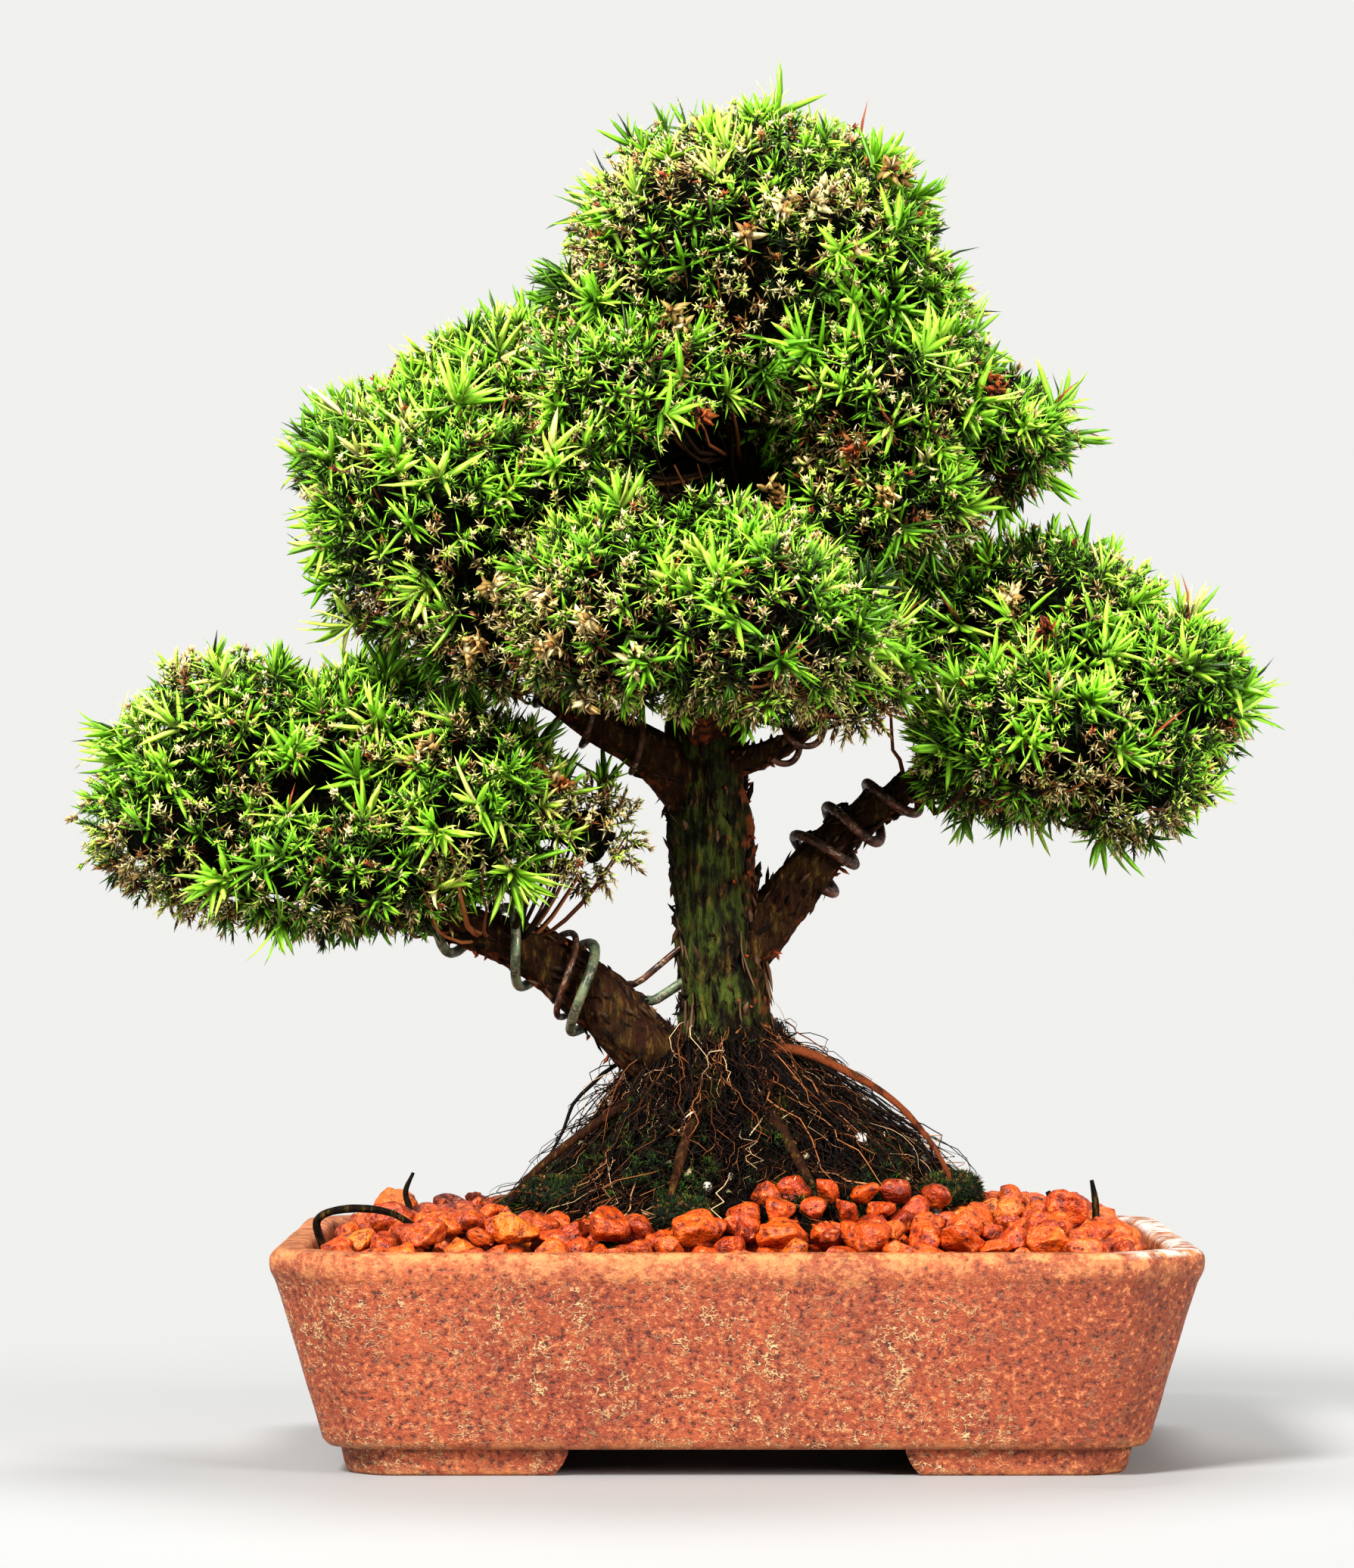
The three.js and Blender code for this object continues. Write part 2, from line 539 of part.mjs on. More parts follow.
function add(name, shape, color, roughness, metalness = 0) {
  const mesh = shape.getMesh();
  const geometry = new THREE.BufferGeometry();
  geometry.setAttribute("position", new THREE.BufferAttribute(new Float32Array(mesh.vertProperties), 3));
  geometry.setIndex(new THREE.BufferAttribute(new Uint32Array(mesh.triVerts), 1));
  geometry.computeVertexNormals();
  const piece = new THREE.Mesh(geometry, new THREE.MeshStandardMaterial({ color, roughness, metalness }));
  piece.name = name;
  innerGroup.add(piece);
}

const wood = largest(woodSolid());
const woodClearance = woodSolid(GAP);
const wireClearance = join(...Object.values(WIRES).map((wire) => wireSolid(wire, GAP)));
const stoneClearances = Object.values(STONES).map((stone) => stoneSolid(stone, GAP));
const mossClearances = Object.keys(MOSS).map((name) => mossSolid(name, GAP));
const litterClearances = Object.keys(LITTER).map((name) => litterSolid(name, GAP));

add("pot", makePot(), 0xa5543a, 0.7);
for (const [label, side] of [["left", -1], ["right", 1]]) {
  add(`drain_screen_${label}`, screenSolid(side), 0x2c2f2d, 0.6);
  add(`screen_clip_${label}`, clipSolid(side), 0x8b8f90, 0.4, 1);
}

const pockets = [-1, 1].flatMap((side) => [screenPocket(side), clipPocket(side)]);
const soilBlank = loft([
  innerRing(GAP + FILLET, floorLevel + GAP),
  innerRing(GAP, floorLevel + FILLET + GAP),
  innerRing(GAP, soilLevel),
]);
add("potting_soil", cut(soilBlank, ...pockets), 0x3a2c22, 1);

const mound = cut(moundSolid(), woodClearance, ...mossClearances, chipSolid(GAP), ...litterClearances);
add("root_mound", mound, 0x2e2119, 0.95);
const gravel = cut(gravelBlank(), moundSolid(GAP), woodClearance, ...mossClearances, chipSolid(GAP),
  ...litterClearances, ...stoneClearances);
add("gravel_bed", gravel, 0xb5472a, 0.45);
for (const [name, stone] of Object.entries(STONES)) add(name, stoneSolid(stone), 0xb5472a, 0.45);
for (const name of Object.keys(MOSS)) add(name, cut(mossSolid(name), woodClearance), 0x5d7a2a, 1);
add("bark_chip", cut(chipSolid(), woodClearance), 0x1f1a18, 0.5);
for (const name of Object.keys(LITTER)) add(name, litterSolid(name), 0x4a3426, 0.9);

add("trunk_and_branches", wood, 0x3b2a20, 0.9);
for (const [name, wire] of Object.entries(WIRES)) add(name, wireSolid(wire), wire.color, 0.5, 0.8);

const earlierPads = [];
Object.entries(PADS).forEach(([name, lobes], index) => {
  add(name, cut(padSolid(lobes, index), woodClearance, wireClearance, ...earlierPads), 0x4d7a2b, 0.8);
  earlierPads.push(padSolid(lobes, index, GAP));
});

// The origin is the middle of the whole object's outline, on the surface it stands on.
const bounds = new THREE.Box3().setFromObject(innerGroup);
const middle = bounds.getCenter(new THREE.Vector3());
innerGroup.position.set(-middle.x, -middle.y, -bounds.min.z);

const bonsai = new THREE.Group();
bonsai.name = "bonsai_tree_in_pot";
bonsai.add(innerGroup);
export default bonsai;
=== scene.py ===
# %% [markdown]
# # A small needle-leaved bonsai in a clay pot
# This lesson dresses a plain solid model of a little tree. The solid model fixes every size and place;
# here each plain solid gets its real surface: fired clay, wet red gravel, matted roots, rough bark,
# training wire, and clipped pads of needles. Everything is in metres.

# %% Load the fixed frame
import math
import bpy
import bmesh
import numpy as np
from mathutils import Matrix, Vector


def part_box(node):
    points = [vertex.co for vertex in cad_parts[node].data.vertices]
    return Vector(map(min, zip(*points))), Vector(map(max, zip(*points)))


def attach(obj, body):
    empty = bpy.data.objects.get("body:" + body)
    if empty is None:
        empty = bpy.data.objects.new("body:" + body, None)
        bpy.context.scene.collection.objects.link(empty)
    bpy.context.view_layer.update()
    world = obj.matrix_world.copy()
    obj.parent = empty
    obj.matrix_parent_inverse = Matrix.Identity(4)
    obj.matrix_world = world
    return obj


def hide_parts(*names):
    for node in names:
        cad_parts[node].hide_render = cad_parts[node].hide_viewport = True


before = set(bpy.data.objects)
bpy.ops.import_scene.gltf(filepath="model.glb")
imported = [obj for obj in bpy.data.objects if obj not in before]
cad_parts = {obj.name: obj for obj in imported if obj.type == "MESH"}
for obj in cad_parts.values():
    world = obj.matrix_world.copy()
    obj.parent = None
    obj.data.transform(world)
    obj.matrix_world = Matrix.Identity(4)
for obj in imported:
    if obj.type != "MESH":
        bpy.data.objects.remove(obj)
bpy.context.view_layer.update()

# %% [markdown]
# ## Camera, floor and light
# A long lens at a little under half the tree's height keeps the pot's sides nearly straight. The floor
# is a plain pale sheet that is far larger than the tree, and the air around it glows evenly, as in a
# light tent. A tent alone would leave the pads flat, so one big soft lamp from the upper front left
# shapes them, with weaker ones at the right and above.

# %% The camera
CAMERA_PLACE = (0.0021, -1.4954, 0.150)
CAMERA_TILT = 91.08  # degrees up from looking straight down
CAMERA_LENS = 128.1


def make_camera():
    camera = bpy.data.objects.new("camera", bpy.data.cameras.new("camera"))
    camera.location = CAMERA_PLACE
    camera.rotation_euler = (math.radians(CAMERA_TILT), 0, 0)
    camera.data.lens = CAMERA_LENS
    camera.data.sensor_width = 36
    camera.data.clip_end = 60
    bpy.context.scene.collection.objects.link(camera)
    bpy.context.scene.camera = camera


make_camera()
print("camera at", CAMERA_PLACE)

# %% [markdown]
# ## A short way to write shader nodes
# Nodes could be added one call at a time, with a line for each link, but then a finish fills pages.
# `Recipe` adds a node and fills its sockets with numbers, colours or other nodes in one line.

# %% A short way to add nodes
def tone(code, alpha=1.0):
    """A display colour such as "#a5543a" as the linear numbers that shaders use."""
    parts = [int(code[i:i + 2], 16) / 255 for i in (1, 3, 5)]
    return (*[p / 12.92 if p <= 0.04045 else ((p + 0.055) / 1.055) ** 2.4 for p in parts], alpha)


class Recipe:
    """Adds shader nodes to a material or a group."""

    def __init__(self, tree):
        self.tree = tree

    def fill(self, socket, value):
        if isinstance(value, bpy.types.Node):
            value = value.outputs[0]
        if isinstance(value, bpy.types.NodeSocket):
            self.tree.links.new(value, socket)
        else:
            socket.default_value = value

    def node(self, kind, *values, **named):
        made = self.tree.nodes.new("ShaderNode" + kind)
        for key, value in named.items():
            if key[0].islower():
                setattr(made, key, value)
        for key, value in named.items():
            if not key[0].islower():
                self.fill(made.inputs[key.replace("_", " ")], value)
        for socket, value in zip(made.inputs, values):
            if value is not None:
                self.fill(socket, value)
        return made

    def maths(self, operation, a, b=None, clamp=False):
        return self.node("Math", a, b, operation=operation, use_clamp=clamp)

    def mix(self, share, a, b, way="MIX"):
        made = self.node("Mix", data_type="RGBA", blend_type=way)
        for index, value in ((0, share), (6, a), (7, b)):
            self.fill(made.inputs[index], value)
        return made.outputs[2]

    def reach(self, value, low, high, to_low=0.0, to_high=1.0):
        """Turns low..high into to_low..to_high, and holds outside."""
        return self.node("MapRange", value, low, high, to_low, to_high, interpolation_type="SMOOTHSTEP")

    def scale_of(self, factor, *stops):
        """A colour scale: stops are (place, "#colour")."""
        made = self.node("ValToRGB", factor)
        bar = made.color_ramp.elements
        while len(bar) < len(stops):
            bar.new(0.5)
        for element, (place, code) in zip(bar, stops):
            element.position, element.color = place, tone(code)
        return made

    def mark(self, name):
        return self.node("Attribute", attribute_name=name).outputs["Fac"]

    def place(self, stretch=(1, 1, 1), turn=(0, 0, 0)):
        """The object's own coordinates in metres, stretched or turned."""
        return self.node("Mapping", self.node("TexCoord").outputs["Object"], None, turn, stretch)

    def noise(self, vector, scale, detail=4.0, rough=0.55):
        return self.node("TexNoise", Vector=vector, Scale=scale, Detail=detail, Roughness=rough).outputs[0]

    def group(self, made, **named):
        node = self.node("Group", node_tree=made)
        for key, value in named.items():
            self.fill(node.inputs[key.replace("_", " ")], value)
        return node

    def bump(self, height, strength, distance):
        return self.node("Bump", Strength=strength, Distance=distance, Height=height)


print("node helper ready")

# %% [markdown]
# ### Floor and light tent
# The tree stands on pale paper that runs up behind it with no edge. The paper could be a curved sheet,
# but a flat one that fades into the tent's own white looks the same and needs no bend behind the tree.

# %% The floor
TENT_WHITE = (0.740, 0.737, 0.722, 1)
PAPER_GREY = (0.345, 0.344, 0.340, 1)
FADE_START, FADE_END = 0.14, 0.44  # metres from the middle of the pot


def link(name, mesh, *materials):
    piece = bpy.data.objects.new(name, mesh)
    bpy.context.scene.collection.objects.link(piece)
    for material in materials:
        mesh.materials.append(material)
    return piece


def paper_finish():
    """Pale paper that fades into the light tent far from the tree, so no horizon shows."""
    paper = bpy.data.materials.new("pale_paper")
    paper.use_nodes = True
    r = Recipe(paper.node_tree)
    shader = paper.node_tree.nodes["Principled BSDF"]
    shader.inputs["Base Color"].default_value = PAPER_GREY
    shader.inputs["Roughness"].default_value = 0.6
    glow = r.node("Emission", Color=TENT_WHITE, Strength=1.0)
    away = r.node("VectorMath", r.node("TexCoord").outputs["Object"], operation="LENGTH").outputs["Value"]
    far = r.reach(away, FADE_START, FADE_END)
    r.fill(paper.node_tree.nodes["Material Output"].inputs["Surface"], r.node("MixShader", far, shader, glow))
    return paper


def make_floor(reach=40.0):
    mesh = bpy.data.meshes.new("floor")
    corners = [(-reach, -reach, 0), (reach, -reach, 0), (reach, reach, 0), (-reach, reach, 0)]
    mesh.from_pydata(corners, [], [(0, 1, 2, 3)])
    link("floor", mesh, paper_finish())


make_floor()
print("floor laid")

# %% The lamps
def soft_lamp(name, place, aim, size, power):
    """A round lamp at `place`, turned towards `aim`, in metres and watts."""
    lamp = bpy.data.lights.new(name, "AREA")
    lamp.shape, lamp.size, lamp.energy = "DISK", size, power
    holder = bpy.data.objects.new(name, lamp)
    holder.location = place
    away = np.array(place) - np.array(aim)
    holder.rotation_euler = Vector(away).to_track_quat("Z", "Y").to_euler()
    bpy.context.scene.collection.objects.link(holder)


soft_lamp("key_lamp", (-0.8, -1.35, 1.35), (0, 0, 0.18), 0.5, 71)
soft_lamp("fill_lamp", (1.3, -1.2, 0.6), (0, 0, 0.15), 0.6, 28)
soft_lamp("top_lamp", (0.1, 0.5, 1.8), (0, 0, 0.2), 0.7, 22)


def light_tent(strength=0.54):
    """The tent looks white itself but lights the tree only gently, so that the lamps model it."""
    world = bpy.data.worlds.new("light_tent")
    world.use_nodes = True
    r = Recipe(world.node_tree)
    tent = world.node_tree.nodes["Background"]
    tent.inputs["Color"].default_value = TENT_WHITE
    seen = r.node("LightPath").outputs["Is Camera Ray"]
    r.fill(tent.inputs["Strength"], r.reach(seen, 0.0, 1.0, strength, 1.0))
    bpy.context.scene.world = world


light_tent()
bpy.context.scene.view_settings.view_transform = "Standard"
bpy.context.scene.view_settings.look = "Medium High Contrast"
print("stage ready")

# %% [markdown]
# ## Numbers that repeat
# Nature's unevenness comes from noise: smooth random lumps that are the same on every run. Blender's
# own noise textures move colours, but here whole stones, bark ridges and needles have to move, so the
# noise is worked out for thousands of points at once with numpy.

# %% Noise for shapes
def chance(cells, seed):
    """One repeatable number from 0 to 1 for each whole-number cell [x, y, z]."""
    x, y, z = (cells[..., axis].astype(np.int64) for axis in range(3))
    mixed = (x * 374761393 + y * 668265263 + z * 1274126177 + seed * 974711) & 0xFFFFFFFF
    mixed = ((mixed ^ (mixed >> 13)) * 1103515245) & 0xFFFFFFFF
    mixed = ((mixed ^ (mixed >> 15)) * 2246822519) & 0xFFFFFFFF
    return ((mixed >> 8) & 0xFFFF) / 65535


def lumps(points, size, seed=0, octaves=3):
    """Smooth unevenness from about -1 to 1; the largest lumps are about `size` across."""
    total, gain = np.zeros(points.shape[:-1]), 1.0
    for octave in range(octaves):
        scaled = points / size * 2**octave
        cell = np.floor(scaled)
        part = scaled - cell
        part = part * part * (3 - 2 * part)
        for corner in np.ndindex(2, 2, 2):
            share = np.prod(np.where(corner, part, 1 - part), axis=-1)
            total += gain * share * (2 * chance(cell + corner, seed + octave) - 1)
        gain *= 0.5
    return total


def unit(vectors):
    return vectors / np.maximum(np.linalg.norm(vectors, axis=-1, keepdims=True), 1e-12)


def random_directions(rng, *shape):
    return unit(rng.normal(size=(*shape, 3)))


def blend(a, b, share):
    return a + (b - a) * share


def smooth_step(value, low, high):
    share = np.clip((value - low) / (high - low), 0, 1)
    return share * share * (3 - 2 * share)


print("noise sample", lumps(np.array([[0.01, 0.02, 0.03]]), 0.01).round(3))

# %% [markdown]
# ## One mesh from many small ones
# A pad has tens of thousands of needles, so they can't be separate objects. Each kind of thing is
# worked out as one big table of corners and faces, then handed to Blender at once. Two numbers go
# with every corner: `shade`, which place of a colour scale it takes, and `along`, how far it is from
# root to tip. The materials read both.

# %% From tables to a piece
def make_piece(name, points, faces, material, slot, stands_for=(), marks=None, uv=None):
    """points (n, 3); faces: one or more tables of 3- or 4-cornered faces."""
    mesh = bpy.data.meshes.new(name)
    tables = [np.asarray(table, np.int32) for table in faces if len(table)]
    corners = np.concatenate([table.ravel() for table in tables])
    counts = np.concatenate([np.full(len(table), table.shape[1], np.int32) for table in tables])
    starts = np.concatenate([[0], np.cumsum(counts)[:-1]]).astype(np.int32)
    mesh.vertices.add(len(points))
    mesh.vertices.foreach_set("co", np.asarray(points, np.float32).ravel())
    mesh.loops.add(len(corners))
    mesh.loops.foreach_set("vertex_index", corners)
    mesh.polygons.add(len(counts))
    mesh.polygons.foreach_set("loop_start", starts)
    mesh.update(calc_edges=True)
    mesh.polygons.foreach_set("use_smooth", np.full(len(counts), True))
    for mark, values in (marks or {}).items():
        layer = mesh.attributes.new(mark, "FLOAT", "POINT")
        layer.data.foreach_set("value", np.asarray(values, np.float32).ravel())
    if uv is not None:
        mesh.uv_layers.new(name="OFBake").uv.foreach_set("vector", np.asarray(uv, np.float32).ravel())
    piece = link(name, mesh, material)
    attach(piece, "root")
    if stands_for:
        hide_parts(*stands_for)
    triangles = int((counts - 2).sum())
    print(f"{name}: {triangles} triangles")
    return piece


class Heap:
    """Gathers corners, faces and marks of many small shapes, to be made one piece at the end."""

    def __init__(self):
        self.points, self.triangles, self.quads, self.shade, self.along = [], [], [], [], []
        self.uv_triangles, self.uv_quads = [], []
        self.count = 0

    def add(self, points, shade, along, triangles=None, quads=None, uv_triangles=None, uv_quads=None):
        points = np.asarray(points).reshape(-1, 3)
        self.points.append(points)
        self.shade.append(np.broadcast_to(shade, len(points)))
        self.along.append(np.broadcast_to(along, len(points)))
        for table, uv, tables, uvs in (
            (triangles, uv_triangles, self.triangles, self.uv_triangles),
            (quads, uv_quads, self.quads, self.uv_quads),
        ):
            if table is None or not len(table):
                continue
            tables.append(np.asarray(table) + self.count)
            uvs.append(np.asarray(uv).reshape(-1, 2))
        self.count += len(points)

    def piece(self, name, material, slot, stands_for=()):
        faces = [np.concatenate(t) for t in (self.triangles, self.quads) if t]
        uv = np.concatenate(self.uv_triangles + self.uv_quads)
        marks = {"shade": np.concatenate(self.shade), "along": np.concatenate(self.along)}
        points = np.concatenate(self.points)
        return make_piece(name, points, faces, material, slot, stands_for, marks, uv)


print("piece maker ready")

# %% [markdown]
# ## Tubes and needles
# Roots, twigs and wire are tubes, and needles, scales and bark plates are three-sided spikes. A curve
# with a bevel would do for one wire, but thousands of strands are quicker as one sum over a table.

# %% Faces of stacked rings
def ring_quads(rows, count):
    """Faces between stacked rings of `count` corners each."""
    grid = np.arange(rows * count).reshape(rows, count)
    after = np.roll(grid, -1, 1)
    return np.stack([grid[:-1], after[:-1], after[1:], grid[1:]], -1).reshape(-1, 4)


def ring_caps(rows, count):
    """Fans that close both ends, round two middle corners that come after the rings."""
    first = np.arange(count)
    last = first + (rows - 1) * count
    foot, head = np.full(count, rows * count), np.full(count, rows * count + 1)
    return np.concatenate([np.stack([foot, np.roll(first, -1), first], -1),
                           np.stack([head, last, np.roll(last, -1)], -1)])


print("a tube of 2 rings and 5 sides has", len(ring_quads(2, 5)) + len(ring_caps(2, 5)), "faces")

# %% Tubes along many paths at once
def carried_frames(paths):
    """Two arrows square to each path, carried along it so that a tube doesn't twist."""
    tangent = unit(np.gradient(paths, axis=1))
    first = tangent[:, 0]
    helper = np.where(np.abs(first[:, 2:]) < 0.9, [[0.0, 0, 1]], [[1.0, 0, 0]])
    side = unit(np.cross(first, helper))
    sides = []
    for step in range(paths.shape[1]):
        along = tangent[:, step]
        side = unit(side - along * (side * along).sum(-1, keepdims=True))
        sides.append(side)
    sides = np.stack(sides, 1)
    return sides, np.cross(tangent, sides)


def add_tubes(heap, paths, radii, sides, shade, spread=0.004):
    """paths (n, steps, 3) and radii (n, steps) in metres; shade (n,)."""
    n, steps, _ = paths.shape
    across, up = carried_frames(paths)
    turn = np.linspace(0, 2 * np.pi, sides, endpoint=False)[:, None]
    ring = np.cos(turn) * across[:, :, None] + np.sin(turn) * up[:, :, None]
    skin = paths[:, :, None] + radii[:, :, None, None] * ring
    ends = np.stack([paths[:, 0], paths[:, -1]], 1)
    points = np.concatenate([skin.reshape(n, -1, 3), ends], 1)
    quads, caps = ring_quads(steps, sides), ring_caps(steps, sides)
    step_size = steps * sides + 2
    start = (np.arange(n) * step_size)[:, None, None]
    level = np.linspace(0, 1, steps)
    along = np.concatenate([np.repeat(level, sides), [0, 1]])
    wide = np.broadcast_to(np.asarray(shade, float), n)
    left, right = wide - spread, wide + spread
    lower, upper = np.repeat(level[:-1], sides), np.repeat(level[1:], sides)
    uv_quads = np.zeros((n, len(quads), 4, 2))
    uv_quads[:, :, (0, 3), 0] = left[:, None, None]
    uv_quads[:, :, (1, 2), 0] = right[:, None, None]
    uv_quads[:, :, (0, 1), 1] = lower[:, None]
    uv_quads[:, :, (2, 3), 1] = upper[:, None]
    uv_caps = np.zeros((n, len(caps), 3, 2))
    uv_caps[..., 0] = wide[:, None, None] + np.array([-spread, spread, 0])
    uv_caps[:, sides:, :, 1] = 1
    uv_caps[..., 2, 1] += np.where(np.arange(2 * sides) < sides, 0.02, -0.02)
    heap.add(points, np.repeat(wide, step_size), np.tile(along, n), (caps + start).reshape(-1, 3),
             (quads + start).reshape(-1, 4), uv_caps, uv_quads)


print("tube maker ready")

# %% Needles on many spots at once
def add_needles(heap, roots, directions, lengths, half_widths, shade, bend=0.0, levels=(0.0,), flat=1.0,
                rng=None, spread=0.003):
    """Three-sided spikes; `levels` are the places of the rings below the tip, from 0 to 1."""
    n = len(roots)
    helper = random_directions(rng, n)
    side = unit(np.cross(directions, helper))
    face = np.cross(directions, side)
    turn = np.radians([90, 210, 330])
    rings = []
    for level in levels:
        swell = 1.0 if level == 0 else (1.25 if level < 0.6 else 0.8)
        middle = roots + directions * (lengths * level)[:, None] + face * (bend * lengths * level**2)[:, None]
        for angle in turn:
            out = side * math.cos(angle) + face * (math.sin(angle) * flat)
            rings.append(middle + out * (half_widths * swell)[:, None])
    tip = roots + directions * lengths[:, None] + face * (bend * lengths)[:, None]
    points = np.stack([*rings, tip], 1)
    count = 3 * len(levels)
    quads = [[3 * r + k, 3 * r + (k + 1) % 3, 3 * r + 3 + (k + 1) % 3, 3 * r + 3 + k]
             for r in range(len(levels) - 1) for k in range(3)]
    tips = [[count - 3 + k, count - 3 + (k + 1) % 3, count] for k in range(3)]
    start = (np.arange(n) * (count + 1))[:, None, None]
    along = np.append(np.repeat(levels, 3), 1.0)
    shade = np.broadcast_to(np.asarray(shade, float), n)
    uv_tips = np.zeros((n, 3, 3, 2))
    uv_tips[..., 0] = shade[:, None, None] + np.array([-spread, spread, 0])
    uv_tips[..., 1] = [levels[-1], levels[-1], 1]
    uv_quads = np.zeros((n, len(quads), 4, 2))
    if quads:
        uv_quads[..., 0] = shade[:, None, None] + np.array([-spread, spread, spread, -spread])
        low = np.repeat(levels[:-1], 3)
        high = np.repeat(levels[1:], 3)
        uv_quads[..., 1] = np.stack([low, low, high, high], -1)
    triangles = (np.array(tips) + start).reshape(-1, 3)
    quads = (np.array(quads) + start).reshape(-1, 4) if quads else None
    heap.add(points, np.repeat(shade, count + 1), np.tile(along, n), triangles, quads, uv_tips, uv_quads)


print("needle maker ready")

# %% [markdown]
# ## Writing materials
# Every finish is made of shader nodes. Effects that several finishes share are node groups with named
# inputs and outputs, so that each finish can give them its own values.

# %% New finishes and effects
def new_finish(name, roughness=0.6, **settings):
    """A material with one Principled shader; returns the material, its recipe and its shader."""
    finish = bpy.data.materials.new(name)
    finish.use_nodes = True
    shader = finish.node_tree.nodes["Principled BSDF"]
    shader.inputs["Roughness"].default_value = roughness
    for key, value in settings.items():
        shader.inputs[key.replace("_", " ")].default_value = value
    return finish, Recipe(finish.node_tree), shader


def new_effect(name, inputs, outputs):
    """A node group; inputs are {name: (kind, start value)}, outputs are {name: kind}."""
    tree = bpy.data.node_groups.new(name, "ShaderNodeTree")
    for key, (kind, start) in inputs.items():
        socket = tree.interface.new_socket(key, in_out="INPUT", socket_type="NodeSocket" + kind)
        if start is not None:
            socket.default_value = start
    for key, kind in outputs.items():
        tree.interface.new_socket(key, in_out="OUTPUT", socket_type="NodeSocket" + kind)
    return tree, Recipe(tree), tree.nodes.new("NodeGroupInput"), tree.nodes.new("NodeGroupOutput")


print("finish helpers ready")

# %% [markdown]
# ## The colour of living and dried leaves
# One pad holds last year's dark needles, bright new ones, tan dried ones and reddish buds. They could
# be five materials, but one colour scale read at the place `shade` is simpler, and lets every needle
# take a colour of its own. A needle is brownish where it leaves the twig and clearest near its tip, and
# its foot is also painted darker as the shade deep inside the pad, so `along` fades the colour.

# %% Leaf colour effect
leaf_colour, r, given, result = new_effect(
    "leaf_colour",
    {"Shade": ("Float", 0.3), "Along": ("Float", 0.5), "Foot Colour": ("Color", tone("#1a140b")),
     "Foot Darkness": ("Float", 0.8)},
    {"Color": "Color"},
)
scale = r.scale_of(
    given.outputs["Shade"],
    (0.0, "#0a1404"), (0.10, "#1f360d"), (0.22, "#4a7416"), (0.34, "#72b022"), (0.46, "#a4e63c"),
    (0.56, "#d6fb64"), (0.63, "#e8ea78"), (0.70, "#f7e6b0"), (0.78, "#cda866"), (0.87, "#7d5a2a"),
    (0.95, "#b8582c"), (1.0, "#24150d"),
)
# each needle's foot is darkened: partly its brown base, partly painted shade deep inside the pad
foot = r.reach(given.outputs["Along"], 0.0, 0.75, 1.0, 0.0)
foot_brown_and_shade_share = r.maths("MULTIPLY", foot, given.outputs["Foot Darkness"])
faded = r.mix(foot_brown_and_shade_share, scale, given.outputs["Foot Colour"])
tip = r.reach(given.outputs["Along"], 0.9, 1.0, 0.0, 0.35)
r.fill(result.inputs["Color"], r.mix(tip, faded, tone("#c9c98a")))
print("leaf colour scale ready")

# %% [markdown]
# ### Needles and twigs
# Old needles are dull and new ones have a faint wax gloss, so both share the colour scale and differ
# in roughness. The mass of twigs behind them is only seen in dips, so its colour comes from noise, and
# it is painted nearly black as the shade deep inside the pad.

# %% Needle finishes
def needle_finish(name, roughness, foot_brown_and_shade, gloss=0.2):
    """A leaf finish; its third number says how far each needle darkens towards its twig, partly its brown
    base and partly painted shade.
    """
    finish, r, shader = new_finish(name, roughness, Specular_IOR_Level=gloss)
    leaf = r.group(leaf_colour, Shade=r.mark("shade"), Along=r.mark("along"), Foot_Darkness=foot_brown_and_shade)
    r.fill(shader.inputs["Base Color"], leaf)
    return finish


old_needles = needle_finish("old_needles", 0.5, 0.95)
new_needles = needle_finish("new_needles", 0.36, 0.6, 0.4)
print("needle finishes ready")

# %% Twig mass finish
shaded_twig_mass, r, shader = new_finish("shaded_twig_mass", 0.9, Specular_IOR_Level=0.05)
where = r.place()
flecks = r.noise(where, 900, 3)
patches = r.noise(where, 120, 3)
# the twigs are painted nearly black, as the shade deep inside the pad, with faint green and brown flecks
green = r.mix(r.reach(flecks, 0.45, 0.62), tone("#040301"), tone("#141f08"))
brown = r.mix(r.reach(flecks, 0.5, 0.66), tone("#050302"), tone("#26180d"))
r.fill(shader.inputs["Base Color"], r.mix(r.reach(patches, 0.42, 0.58), green, brown))
r.fill(shader.inputs["Normal"], r.bump(flecks, 0.9, 0.002))
print("foliage finishes ready")

# %% [markdown]
# ## Finding spots on a plain pad
# The solid model gives each pad as a closed lumpy shape. Random spots, as many on each patch as its
# area asks for, are thinned to an even spacing. Each spot keeps the direction that points out of the
# pad there. Scattering with geometry nodes would do too, but here each needle also needs its own
# colour, length and lean, which is simpler to set in a table.

# %% Spots on a solid
def welded(node):
    """A working copy of one solid's mesh with its corners joined and its faces cut into triangles."""
    shape = bmesh.new()
    shape.from_mesh(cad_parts[node].data)
    bmesh.ops.remove_doubles(shape, verts=shape.verts, dist=1e-6)
    bmesh.ops.triangulate(shape, faces=shape.faces)
    shape.normal_update()
    shape.verts.index_update()
    return shape


def solid_triangles(node):
    shape = welded(node)
    corners = np.array([v.co for v in shape.verts])
    normals = np.array([v.normal for v in shape.verts])
    index = np.array([[v.index for v in face.verts] for face in shape.faces])
    shape.free()
    return corners, index, normals


CROWD = 6  # random points tried for each one that is kept
CELL_SHARE = 1.08  # side of the cell that keeps one point, in spacings


